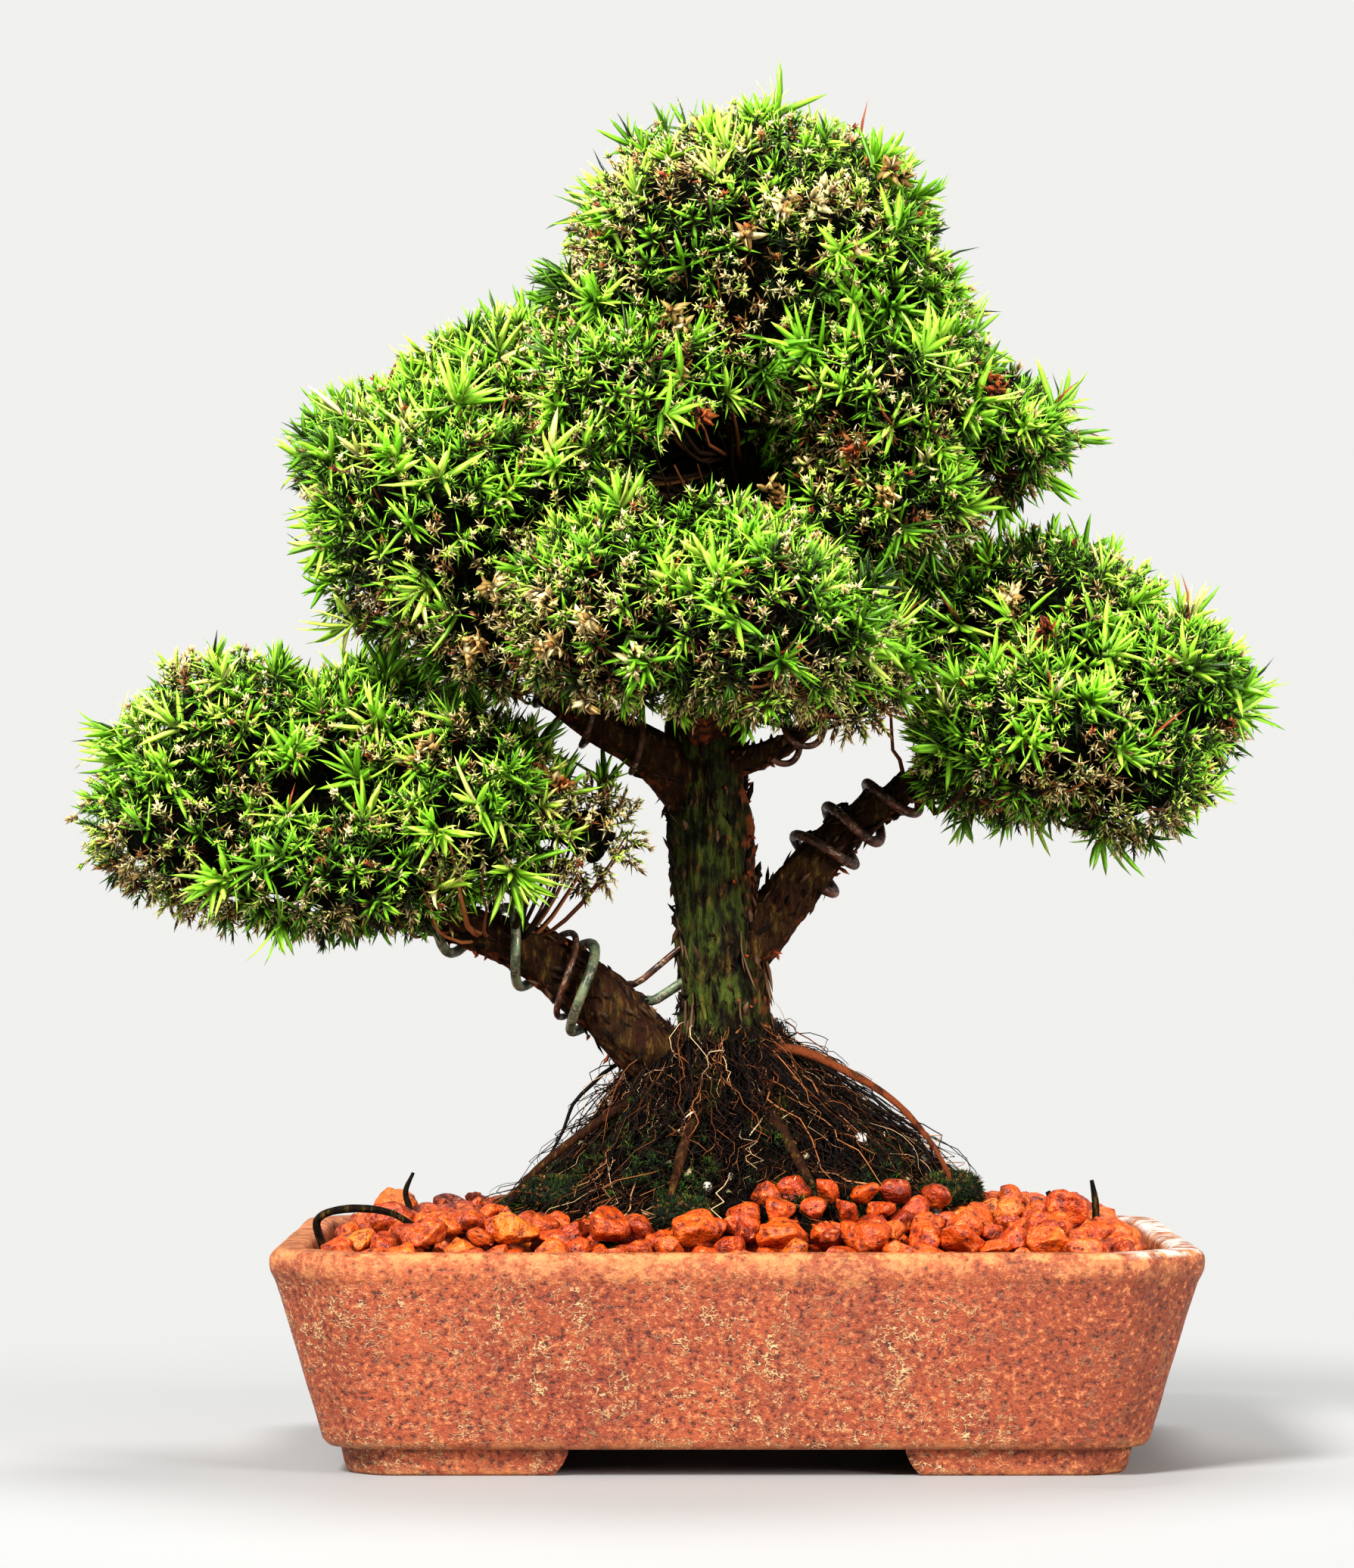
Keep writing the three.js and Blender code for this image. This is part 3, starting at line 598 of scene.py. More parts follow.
def spots_on(node, spacing, rng):
    """Evenly scattered points on a solid of the model, and the way out at each."""
    corners, index, normals = solid_triangles(node)
    a, b, c = (corners[index[:, k]] for k in range(3))
    area = np.linalg.norm(np.cross(b - a, c - a), axis=1) / 2
    wanted = int(area.sum() / spacing**2 * CROWD)
    pick = rng.choice(len(area), wanted, p=area / area.sum())
    s, t = np.sqrt(rng.random(wanted))[:, None], rng.random(wanted)[:, None]
    share = (1 - s, s * (1 - t), s * t)
    points = sum(w * corners[index[pick, k]] for k, w in enumerate(share))
    outward = unit(sum(w * normals[index[pick, k]] for k, w in enumerate(share)))
    cell = np.floor(points / (spacing * CELL_SHARE)).astype(int)
    keep = np.sort(np.unique(cell, axis=0, return_index=True)[1])
    return points[keep], outward[keep]


print("finding spots ready")

# %% [markdown]
# ## Shoots and tufts
# A clipped shoot is a stub of twig, 5 to 7 mm long, with needles set round it in a spiral, wide open
# at its foot and closing towards its tip. A tuft of new growth is the same with fewer, longer and
# flatter needles that spring from almost one point like a star.

# %% Growing shoots
GOLDEN = 2.399963  # radians between one needle and the next, as leaves grow


def grow_shoots(heap, roots, axes, shade, rng, needles, length, stem, half_width, levels=(0.0,), bend=0.0,
                open_angle=88, closed_angle=12, flat=0.8, mottle=0.03, fan=1.0):
    """One shoot on each root; the needles lean from open_angle at its foot to closed_angle at its tip."""
    n = len(roots)
    if not n:
        return
    share = np.linspace(0, 1, needles)[None]
    side = unit(np.cross(axes, random_directions(rng, n)))
    face = np.cross(axes, side)
    azimuth = share * needles * GOLDEN + rng.uniform(0, 6.28, (n, 1))
    lean = np.radians(blend(open_angle, closed_angle, share**1.2)) + rng.normal(0, 0.16, (n, needles))
    out = unit(np.cos(azimuth)[..., None] * side[:, None] + fan * np.sin(azimuth)[..., None] * face[:, None])
    direction = np.cos(lean)[..., None] * axes[:, None] + np.sin(lean)[..., None] * out
    stem = np.broadcast_to(stem, n)
    root = roots[:, None] + axes[:, None] * (stem[:, None] * (0.12 + 0.88 * share))[..., None]
    long = rng.uniform(*length, (n, needles)) * blend(1.1, 0.8, share)
    each = np.clip(shade[:, None] + rng.normal(0, mottle, (n, needles)), 0.005, 0.995)
    wide = half_width * rng.uniform(0.85, 1.15, n * needles)
    add_needles(heap, root.reshape(-1, 3), direction.reshape(-1, 3), long.ravel(), wide, each.ravel(), bend,
                levels, flat, rng)


print("shoot maker ready")

# %% [markdown]
# ## The pads of foliage
# Each pad is built in layers, as it grows: a mass of twigs a few millimetres inside, painted nearly
# black as the shade deep in the pad, a dense coat of clipped shoots, some longer green ones, bright tufts
# of new growth that break the outline, and dried tan or brown shoots with tiny buds on them. The dried
# ones gather in patches and on the shaded underside. A few patches at the front are bare and show the
# dark twigs, or are crusted with dried scales; noise could place them anywhere, so these are marked where
# the tree has them.

# %% Clumps of a pad
def clumps(points, seed):
    """How far the clipped surface bulges out, in metres: clumps about 20 mm wide with dips between."""
    return 0.0040 * lumps(points, 0.021, seed + 2, 2) + 0.0019 * lumps(points, 0.009, seed + 3, 1)


# Patches seen from the front, in millimetres: x, z and radius. The first sort is bare and dark, the
# second is crusted with dried scales.
BARE = ((15, 262, 15), (2, 256, 9), (27, 254, 9), (-92, 176, 9), (60, 176, 8))
CRUSTED = ((-27, 216, 21), (44, 322, 17), (44, 262, 14), (20, 300, 12), (-45, 345, 8), (96, 222, 14),
           (-60, 190, 12), (-2, 340, 14), (110, 180, 12))
FRONT_HALF = 12  # patches reach back to this y, in millimetres


def in_patches(points, patches, seed):
    """True for the points on the front that lie in one of the patches, with a ragged edge."""
    x, y, z = points.T * 1000
    ragged = 1 + 0.45 * lumps(points, 0.007, seed + 9, 2)
    inside = [np.hypot(x - px, z - pz) < size * ragged for px, pz, size in patches]
    return (y < FRONT_HALF) & np.any(inside, 0)


print(len(BARE), "bare and", len(CRUSTED), "crusted patches marked")

# %% Twigs inside a pad
def make_pad_core(node, seed):
    """The twig mass, painted nearly black as the shade deep inside the pad: the pad's own solid, softened and
    sunk below the coat.
    """
    shape = welded(node)
    bmesh.ops.subdivide_edges(shape, edges=shape.edges, cuts=2, use_grid_fill=True)
    for _ in range(3):
        bmesh.ops.smooth_vert(shape, verts=shape.verts, factor=0.5, use_axis_x=True, use_axis_y=True,
                              use_axis_z=True)
    shape.normal_update()
    points = np.array([v.co for v in shape.verts])
    normals = np.array([v.normal for v in shape.verts])
    depth = np.clip(0.0062 - clumps(points, seed) + 0.0014 * lumps(points, 0.005, seed + 7), 0.002, 0.012)
    points = points - normals * depth[:, None]
    shape.verts.index_update()
    tables = {}
    for face in shape.faces:
        tables.setdefault(len(face.verts), []).append([v.index for v in face.verts])
    shape.free()
    make_piece(f"{node}_twigs", points, list(tables.values()), shaded_twig_mass, "needles", [node])


print("twig mass maker ready")

# %% The clipped coat of a pad
SHORT_SHOOT = dict(needles=17, length=(0.0016, 0.0042), stem=0.0064, half_width=0.00037, mottle=0.13)
LONGER_SHOOT = dict(needles=11, length=(0.0048, 0.0088), stem=0.0050, half_width=0.00052, levels=(0.0, 0.45),
                    bend=0.14, open_angle=84, closed_angle=8, flat=0.5, mottle=0.06)
DRIED_SHOOT = dict(needles=13, length=(0.0015, 0.0036), stem=0.0066, half_width=0.00046, mottle=0.06)
BUD = dict(needles=8, length=(0.0011, 0.0024), stem=0.0008, half_width=0.00060, open_angle=82)
# Places of the leaf colour scale, each with the share of shoots or buds that take it
DRIED_SHADES = {0.62: 0.2, 0.70: 0.35, 0.76: 0.25, 0.86: 0.2}
BUD_SHADES = {0.55: 0.30, 0.68: 0.24, 0.71: 0.19, 0.77: 0.21, 0.95: 0.06}
COAT_SPACING = 0.0042
BARE_END_X = -0.032  # right of this the lower left pad is mostly dried


def drawn(rng, shades, n):
    return rng.choice(list(shades), n, p=list(shades.values()))


def make_coat(node, seed, dried, rng):
    """Clipped, longer and dried shoots, with buds on some of their tips."""
    coat = Heap()
    points, outward = spots_on(node, COAT_SPACING, rng)
    covered = ~in_patches(points, BARE, seed)
    points, outward = points[covered], outward[covered]
    n = len(points)
    patch = lumps(points, 0.026, seed + 1, 2)
    under = smooth_step(-outward[:, 2], 0.05, 0.6)
    sink = np.clip(0.0030 - clumps(points, seed) + 0.0008 * rng.normal(size=n), -0.003, 0.009)
    roots = points - outward * sink[:, None]
    axes = unit(outward + 0.55 * random_directions(rng, n) + [0, 0, 0.2])
    is_dried = rng.random(n) < dried * (0.6 + 1.8 * smooth_step(patch, 0.0, 0.7)) + 0.4 * under
    is_dried |= in_patches(points, CRUSTED, seed) & (rng.random(n) < 0.62)
    if node == "foliage_lower_left":
        is_dried |= (points[:, 0] > BARE_END_X) & (rng.random(n) < 0.85)
    is_longer = ~is_dried & (rng.random(n) < 0.20 + 0.3 * smooth_step(-patch, 0.0, 0.6))
    is_short = ~is_dried & ~is_longer
    # green shoots are painted darker where they face down and lighter where they face up, as painted shade
    # and light
    green = np.clip(0.21 + 0.11 * rng.normal(size=n) - 0.06 * under + 0.04 * outward[:, 2], 0.02, 0.5)
    tan = drawn(rng, DRIED_SHADES, n) + 0.02 * rng.normal(size=n)
    for some, shade, habit in ((is_short, green, SHORT_SHOOT), (is_longer, green + 0.14, LONGER_SHOOT),
                               (is_dried, tan, DRIED_SHOOT)):
        grow_shoots(coat, roots[some], axes[some], shade[some], rng, **habit)
    budding = np.flatnonzero((rng.random(n) < 0.26 + 0.36 * smooth_step(patch, -0.2, 0.6)) & (under < 0.8))
    tips = roots[budding] + axes[budding] * rng.uniform(0.0050, 0.0085, (len(budding), 1))
    grow_shoots(coat, tips, axes[budding], drawn(rng, BUD_SHADES, len(budding)), rng, **BUD)
    coat.piece(f"{node}_shoots", old_needles, "needles", [node])


print("coat maker ready")

# %% [markdown]
# ### New growth
# Bright flat needles spring from the coat in stars of three kinds. They could be part of the coat, but
# as a piece of their own they take the glossier finish, and can stay out of the bare patches.

# %% New growth on a pad
NEW_SPACING = 0.0134
NEW_LEVELS = (0.0, 0.35, 0.75)
# Reach from and to, blades in a star, half width and fan, in metres
STARS = ((0.0075, 0.0125, 10, 0.00072, 0.35), (0.010, 0.016, 9, 0.00086, 0.2),
         (0.006, 0.0095, 12, 0.00066, 0.8))
FRONT_CLIP = 0.84  # the front pad reaches furthest forward, so its new growth is clipped shorter


def make_new_growth(node, seed, bright, rng):
    """Stars of new needles, most of them on the upper side, and a few long stray ones."""
    fresh = Heap()
    points, outward = spots_on(node, NEW_SPACING, rng)
    likely = bright * (1 - 0.75 * smooth_step(-outward[:, 2], 0.2, 0.7))
    keep = ~in_patches(points, BARE + CRUSTED[:3], seed) & (rng.random(len(points)) < likely)
    points, outward = points[keep], outward[keep]
    n = len(points)
    points = points + outward * (clumps(points, seed) + 0.0005)[:, None]
    axes = unit(outward + 0.5 * random_directions(rng, n) + [0, 0, 0.25])
    shade = np.clip(0.43 + 0.08 * rng.normal(size=n), 0.2, 0.6)
    share = FRONT_CLIP if node == "foliage_front" else 1.0
    for start, (low, high, blades, wide, fan) in enumerate(STARS):
        some = slice(start, None, len(STARS))
        grow_shoots(fresh, points[some] - outward[some] * 0.001, axes[some], shade[some], rng, blades,
                    (share * low, share * high), 0.0046, wide, NEW_LEVELS, bend=0.2, open_angle=84,
                    closed_angle=6, flat=0.30, mottle=0.06, fan=fan)
    stray = rng.choice(n, max(n // 4, 3), replace=False)
    add_needles(fresh, points[stray], unit(axes[stray] + [0, 0, 0.4]), rng.uniform(0.010, 0.016, len(stray)),
                np.full(len(stray), 0.0005), rng.choice([0.05, 0.12, 0.97], len(stray)), 0.4,
                (0.0, 0.3, 0.65), 1.0, rng)
    fresh.piece(f"{node}_new_growth", new_needles, "needles", [node])


print("new growth maker ready")

# %% Dressing the pads
# Seed, share of dried shoots and share of spots with new growth
PADS = {
    "foliage_lower_left": (101, 0.20, 0.52), "foliage_lower_right": (102, 0.18, 0.50),
    "foliage_front": (103, 0.22, 0.70), "foliage_middle_left": (104, 0.22, 0.50),
    "foliage_upper_right": (105, 0.16, 0.8), "foliage_apex": (106, 0.28, 0.56),
    "foliage_upper_left": (107, 0.18, 0.60), "foliage_back": (108, 0.20, 0.45),
}
for pad, (seed, dried, bright) in PADS.items():
    rng = np.random.default_rng(seed)
    make_pad_core(pad, seed)
    make_coat(pad, seed, dried, rng)
    make_new_growth(pad, seed, bright, rng)

# %% [markdown]
# ### Tufts that can be told apart
# The eye knows this tree by a few large tufts and curled dry rosettes, so these are not left to chance.
# Each has a marked place as seen from the front, and is set on the nearest spot of a pad there.

# %% Large tufts
# x, z, reach in millimetres, shade, and the way the tuft leans
TUFTS = (
    (-64, 226, 14, 0.50, (-0.8, -0.6, -0.1)), (-51, 281, 17, 0.50, (0.3, -0.9, 0.5)),
    (41, 292, 17, 0.40, (-0.9, -0.5, 0.3)), (22, 281, 12, 0.27, (0.1, -1, 0.1)),
    (10, 231, 14, 0.44, (0.2, -1, 0.2)), (68, 207, 13, 0.38, (0.1, -1, -0.2)),
    (-38, 153, 18, 0.49, (0.5, -0.8, -0.4)), (-75, 194, 14, 0.50, (-0.3, -0.9, 0.4)),
    (-62, 166, 14, 0.50, (-0.2, -1, 0.1)), (54, 215, 13, 0.42, (0.5, -0.8, -0.3)),
    (112, 200, 14, 0.46, (0.5, -0.8, 0.2)), (-118, 152, 14, 0.47, (-0.5, -0.8, -0.4)),
    (45, 321, 13, 0.45, (0.3, -0.9, -0.3)), (-30, 262, 11, 0.47, (-0.4, -0.9, 0.3)),
    (-72, 262, 13, 0.46, (-0.6, -0.8, 0.2)), (28, 205, 13, 0.30, (0.1, -1, -0.3)),
    (-5, 206, 12, 0.32, (0, -0.8, -0.6)), (90, 190, 12, 0.44, (0, -1, 0.1)),
    (-95, 186, 12, 0.36, (-0.2, -0.9, 0.4)), (8, 352, 10, 0.44, (-0.2, -0.6, 0.8)),
    (-36, 318, 13, 0.24, (-1, -0.2, 0.35)), (-40, 316, 11, 0.18, (-1, 0, 0.1)),
    (-86, 269, 13, 0.20, (-1, -0.2, 0.3)), (-84, 273, 12, 0.24, (-0.9, 0, 0.6)),
    (55, 345, 12, 0.40, (0.7, -0.2, 0.7)), (60, 300, 12, 0.34, (0.8, -0.5, 0.2)),
    (62, 228, 13, 0.12, (0.4, -0.6, 0.6)), (-20, 300, 12, 0.42, (-0.5, -0.9, 0.3)),
    (24, 246, 10, 0.40, (0, -1, 0.3)), (137, 205, 11, 0.16, (1, -0.3, 0.3)),
)
CLOSE_ENOUGH = 4  # millimetres from a mark within which the foremost spot wins
SHOOTS_EACH = 3


def nearest_fronts(rng, marks):
    """For each mark, the spot of any pad that is seen from the front at its place."""
    spots, outs = zip(*(spots_on(pad, 0.0045, rng) for pad in PADS))
    spots, outs = np.concatenate(spots), np.concatenate(outs)
    for x, z, *_ in marks:
        away = np.hypot(spots[:, 0] * 1000 - x, spots[:, 2] * 1000 - z)
        best = np.argmin(np.maximum(away, CLOSE_ENOUGH) * 3 + spots[:, 1] * 1000)
        yield spots[best], outs[best]


def make_tufts():
    rng = np.random.default_rng(120)
    tufts = Heap()
    for (*_, reach, shade, lean), (spot, out) in zip(TUFTS, nearest_fronts(rng, TUFTS)):
        axis = unit(unit(np.array(lean, float)) + 0.35 * out)
        axes = unit(np.tile(axis, (SHOOTS_EACH, 1)) + 0.28 * random_directions(rng, SHOOTS_EACH))
        roots = np.tile(spot, (SHOOTS_EACH, 1)) + 0.0016 * random_directions(rng, SHOOTS_EACH)
        grow_shoots(tufts, roots, axes, np.full(SHOOTS_EACH, shade), rng, 9, (reach * 0.00055, reach * 0.001),
                    0.0045, 0.00088 if shade > 0.3 else 0.0006, NEW_LEVELS, bend=0.16, open_angle=70,
                    closed_angle=4, flat=0.28, mottle=0.06, fan=0.5)
    tufts.piece("foliage_tufts", new_needles, "needles", list(PADS))


make_tufts()

# %% Curled dry rosettes
# x, z in millimetres and shade
ROSETTES = (
    (31, 329, 0.72), (40, 331, 0.68), (36, 262, 0.73), (6, 282, 0.75), (48, 266, 0.93), (85, 282, 0.94),
    (-46, 229, 0.74), (-35, 223, 0.7), (-9, 207, 0.69), (8, 278, 0.94), (46, 313, 0.76), (28, 258, 0.8),
    (-20, 214, 0.72), (-50, 212, 0.78), (20, 322, 0.8), (52, 255, 0.78), (-30, 208, 0.77),
    (96, 219, 0.92), (88, 228, 0.76), (56, 340, 0.78), (-62, 188, 0.77), (-28, 176, 0.86),
    (-24, 190, 0.72), (3, 300, 0.76),
)


def make_rosettes():
    rng = np.random.default_rng(121)
    curls = Heap()
    for (*_, shade), (spot, out) in zip(ROSETTES, nearest_fronts(rng, ROSETTES)):
        outward = np.tile(out, (SHOOTS_EACH, 1))
        axes = unit(outward + [0, -0.4, 0.1] + 0.7 * random_directions(rng, SHOOTS_EACH))
        roots = np.tile(spot + out * 0.002, (SHOOTS_EACH, 1)) + 0.0024 * random_directions(rng, SHOOTS_EACH)
        grow_shoots(curls, roots, axes, np.full(SHOOTS_EACH, shade + 0.03), rng, 9, (0.0022, 0.0042), 0.0032,
                    0.00095, (0.0, 0.4, 0.75), bend=0.8, open_angle=84, closed_angle=14, flat=0.25,
                    mottle=0.05)
    curls.piece("foliage_rosettes", old_needles, "needles", list(PADS))


make_rosettes()

# %% [markdown]
# ## The clay pot
# The real pot was pressed in a mould: a tapered tray with cut-off corners, a rolled lip, and four
# bracket feet. A box with a bevel could not give its changing corners, so its outline is drawn once
# as a function of how far it stands in, and stacked at about sixty heights. Clay is never quite flat,
# so every wall gets a little waviness.

# %% Sizes in millimetres about the middle of the pot
pot_low, pot_high = (np.array(corner) * 1000 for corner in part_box("pot"))
pot_middle = (pot_low + pot_high) / 2
HALF_LONG, HALF_WIDE, RIM = (pot_high[0] - pot_low[0]) / 2, (pot_high[1] - pot_low[1]) / 2, pot_high[2]
LIP, TAPER, FOOT_HEIGHT, WALL = 8.0, 12.7, 7.0, 9.0
WALL_START = 1.6  # how far the top of the wall stands in from the lip
CORNER_EASE = 0.586  # change of a cut corner's length for each millimetre the outline steps in


def from_middle(points):
    """Millimetres about the pot's middle, heights above the table, to metres in the shared frame."""
    return (np.asarray(points, float) + [pot_middle[0], pot_middle[1], 0]) / 1000


def body_share(z):
    return np.clip((RIM - LIP - z) / (RIM - LIP - FOOT_HEIGHT), 0, 1)


def wall_inset(z):
    return WALL_START + TAPER * body_share(z)


print("pot", round(HALF_LONG * 2), "x", round(HALF_WIDE * 2), "x", round(RIM), "mm")

# %% Outlines with soft creases
def crease(before, corner, after, reach, count=6):
    """A soft bend that leaves the corner's two sides at `reach` from it."""
    start = corner + unit(before - corner) * reach
    end = corner + unit(after - corner) * reach
    t = np.linspace(0, 1, count)[:, None]
    return (1 - t) ** 2 * start + 2 * t * (1 - t) * corner + t**2 * end


def pot_outline(inset, cant, soft=5.0, sides=(34, 4, 48, 4)):
    """Anticlockwise outline of the tray at one height; cant is the length cut off each corner."""
    x, y = HALF_LONG - inset, HALF_WIDE - inset
    corners = np.array([(x, cant - y), (x, y - cant), (x - cant, y), (cant - x, y), (-x, y - cant),
                        (-x, cant - y), (cant - x, -y), (x - cant, -y)])
    soft = min(soft, cant * 0.45)
    turns = [crease(corners[k - 1], corners[k], corners[(k + 1) % 8], soft) for k in range(8)]
    line = []
    for k in range(8):
        line.append(turns[k])
        steps = np.linspace(0, 1, sides[k % 4] + 2)[1:-1, None]
        line.append(blend(turns[k][-1], turns[(k + 1) % 8][0], steps))
    return np.concatenate(line)


print("outline at the lip has", len(pot_outline(0, 18)), "points")

# %% Stacking the outlines
DRAWN_RIM = 58  # height at which the rows below are drawn; they are scaled to the real rim
CANT_TOP, CANT_FOOT = 18.0, 9.0


def cant_at(z):
    """Length cut off each corner at a height: the pot gets sharper corners towards its foot."""
    return blend(CANT_TOP, CANT_FOOT, body_share(z))


def worn_at(z, *edges):
    """How worn a height is; each edge is (height, half width of the worn band, strength)."""
    return sum(strength * np.exp(-((z - height) / width) ** 2) for height, width, strength in edges)


outer_rows = [(FOOT_HEIGHT, wall_inset(FOOT_HEIGHT) + 2.4), (7.3, 15.4), (8.0, 14.6)]
outer_rows += [(z, wall_inset(z)) for z in np.linspace(9.2, 46.0, 25)]
outer_rows += [(47.5, 2.3), (49.0, 1.85), (50.2, 1.35), (51.2, 0.85), (52.2, 0.42), (53.6, 0.15), (55.0, 0.1),
               (56.0, 0.25), (56.9, 0.7), (57.5, 1.3), (57.85, 2.0), (58.0, 2.9), (58.0, 4.4), (58.0, 6.0)]
inner_rows = [(57.9, 7.0), (57.6, 7.8), (57.1, 8.4), (56.2, 8.9), (54.0, 9.1), (50.0, 9.3)]
inner_rows += [(z, wall_inset(z) - WALL_START + WALL) for z in (44.0, 34.0, 24.0, 17.0)]
inner_rows += [(14.4, 22.2), (13.0, 24.5)]
rings, edge_mark = [], []
for z, inset in outer_rows + inner_rows:
    z = z * RIM / DRAWN_RIM
    outline = pot_outline(inset, cant_at(z))
    rings.append(np.column_stack([outline, np.full(len(outline), z)]))
    worn = worn_at(z, (57.3, 1.5, 1.0), (51.5, 1.2, 0.2), (8, 1.2, 0.6))
    edge_mark.append(np.full(len(outline), worn))
around = len(rings[0])
body = from_middle(np.concatenate(rings))
along_rings = [unit(np.roll(ring, -1, 0) - np.roll(ring, 1, 0)) for ring in rings]
outward = np.concatenate([along[:, [1, 0, 2]] * [1, -1, 0] for along in along_rings])
wavy = 0.00028 * lumps(body, 0.035, 3, 2) + 0.00010 * lumps(body, 0.006, 4, 2)
body += outward * wavy[:, None]
body_faces = ring_quads(len(rings), around)
print("tray", len(rings), "rows of", around)

# %% The bracket feet
def foot_points():
    """One foot at the front right: cross-sections along the outline, from the front to the side."""
    base = float(wall_inset(FOOT_HEIGHT)) + 4.6
    section = [(-1.0, 7.3), (-0.7, 5.8), (-0.2, 3.4), (0.3, 1.7), (0.8, 0.7), (1.7, 0.0), (12.4, 0.0),
               (13.5, 0.5), (14, 1.6), (14, 7.3)]
    lines = []
    for step_in, z in section:
        inset = base + step_in
        x, y, cant = HALF_LONG - inset, HALF_WIDE - inset, max(CANT_FOOT - CORNER_EASE * step_in, 2.0)
        scoop = 4 * (1 - min(z, 7) / 7) ** 1.7
        start, end = np.array([43 + scoop, -y]), np.array([x, -31 - scoop])
        first, second = np.array([x - cant, -y]), np.array([x, cant - y])
        soft = min(4.0, cant * 0.45)
        a, b = crease(start, first, second, soft), crease(first, second, end, soft)
        front = blend(start, a[0], np.linspace(0, 1, 14)[:-1, None])
        side = blend(b[-1], end, np.linspace(0, 1, 10)[1:, None])
        line = np.concatenate([front, a, b, side])
        lines.append(np.column_stack([line, np.full(len(line), z)]))
    return np.stack(lines, 1)


foot = foot_points()
along_foot, round_foot = foot.shape[:2]
foot_faces = ring_quads(along_foot, round_foot)
foot_ends = np.array([np.arange(round_foot)[::-1], np.arange(round_foot) + (along_foot - 1) * round_foot])
all_points, quads, caps, edges = [body], [body_faces], [], [np.concatenate(edge_mark)]
for flip_x, flip_y in ((1, 1), (-1, 1), (1, -1), (-1, -1)):
    start = sum(len(p) for p in all_points)
    points = foot.reshape(-1, 3) * [flip_x, flip_y, 1]
    order = slice(None) if flip_x * flip_y > 0 else slice(None, None, -1)
    all_points.append(from_middle(points))
    quads.append(foot_faces[:, order] + start)
    caps.append(foot_ends[:, order] + start)
    edges.append(worn_at(points[:, 2], (0.6, 1.0, 0.8)))
last = (len(rings) - 1) * around
plates = np.array([np.arange(around)[::-1], np.arange(around) + last])
print("four feet,", along_foot * round_foot, "points each")

# %% [markdown]
# ### Fired clay
# Close up the clay is brick red with paler and darker clouds from the kiln. Short pale scratches and
# crumbs cover the walls, the worn edges are more orange, and hard water has left a pale bloom inside
# the rim at the right. The squiggly scratches come from one trick: a thin band of values of a noise
# is a winding line, and a second noise breaks it into short pieces.

# %% Scratch effect
scratch_marks, r, given, result = new_effect(
    "scratch_marks",
    {"Vector": ("Vector", None), "Scale": ("Float", 200.0), "Width": ("Float", 0.02),
     "Share": ("Float", 0.5)},
    {"Mask": "Float"},
)
winding = r.noise(given.outputs["Vector"], given.outputs["Scale"], 2.0, 0.6)
off_line = r.maths("ABSOLUTE", r.maths("SUBTRACT", winding, 0.5))
thin = r.maths("SUBTRACT", 1.0, r.maths("DIVIDE", off_line, given.outputs["Width"], True), True)
pieces_of = r.noise(given.outputs["Vector"], r.maths("MULTIPLY", given.outputs["Scale"], 0.55), 1.0)
kept = r.node("MapRange", pieces_of, given.outputs["Share"], r.maths("ADD", given.outputs["Share"], 0.07))
r.fill(result.inputs["Mask"], r.maths("MULTIPLY", thin, kept, True))
print("scratch effect ready")

# %% Cloud effect
mottling, r, given, result = new_effect(
    "mottling",
    {"Vector": ("Vector", None), "Scale": ("Float", 20.0), "First": ("Color", tone("#9c4a33")),
     "Second": ("Color", tone("#b9694c")), "Softness": ("Float", 0.12)},
    {"Color": "Color", "Value": "Float"},
)
cloud = r.noise(given.outputs["Vector"], given.outputs["Scale"], 4.0, 0.6)
low = r.maths("SUBTRACT", 0.5, given.outputs["Softness"])
high = r.maths("ADD", 0.5, given.outputs["Softness"])
share = r.node("MapRange", cloud, low, high)
r.fill(result.inputs["Color"], r.mix(share, given.outputs["First"], given.outputs["Second"]))
r.fill(result.inputs["Value"], share)
print("cloud effect ready")

# %% The clay finish: clouds, streaks and grain
fired_clay, r, shader = new_finish("fired_clay", 0.5)
where = r.place()
clouds = r.group(mottling, Vector=where, Scale=24, First=tone("#8d3c22"), Second=tone("#b0562f"),
                 Softness=0.20)
grain = r.noise(where, 620, 5, 0.72)
streaks = r.noise(r.place((70, 70, 7)), 1, 3)
x_place = r.node("SeparateXYZ", where).outputs[0]
colour = r.mix(r.reach(streaks, 0.5, 0.7, 0, 0.45), clouds, tone("#703122"))
# darker towards both ends of the tray
colour = r.mix(r.reach(r.maths("ABSOLUTE", x_place), 0.07, 0.122, 0, 0.6), colour, tone("#7a3418"))
colour = r.mix(r.reach(grain, 0.53, 0.66, 0, 0.8), colour, tone("#dc8c58"))
# the grain's low parts are painted near black: partly dark specks of the clay, partly painted shade in its
# crevices
colour = r.mix(r.reach(grain, 0.475, 0.365, 0, 0.92), colour, tone("#3f150a"))
print("clay colour ready")

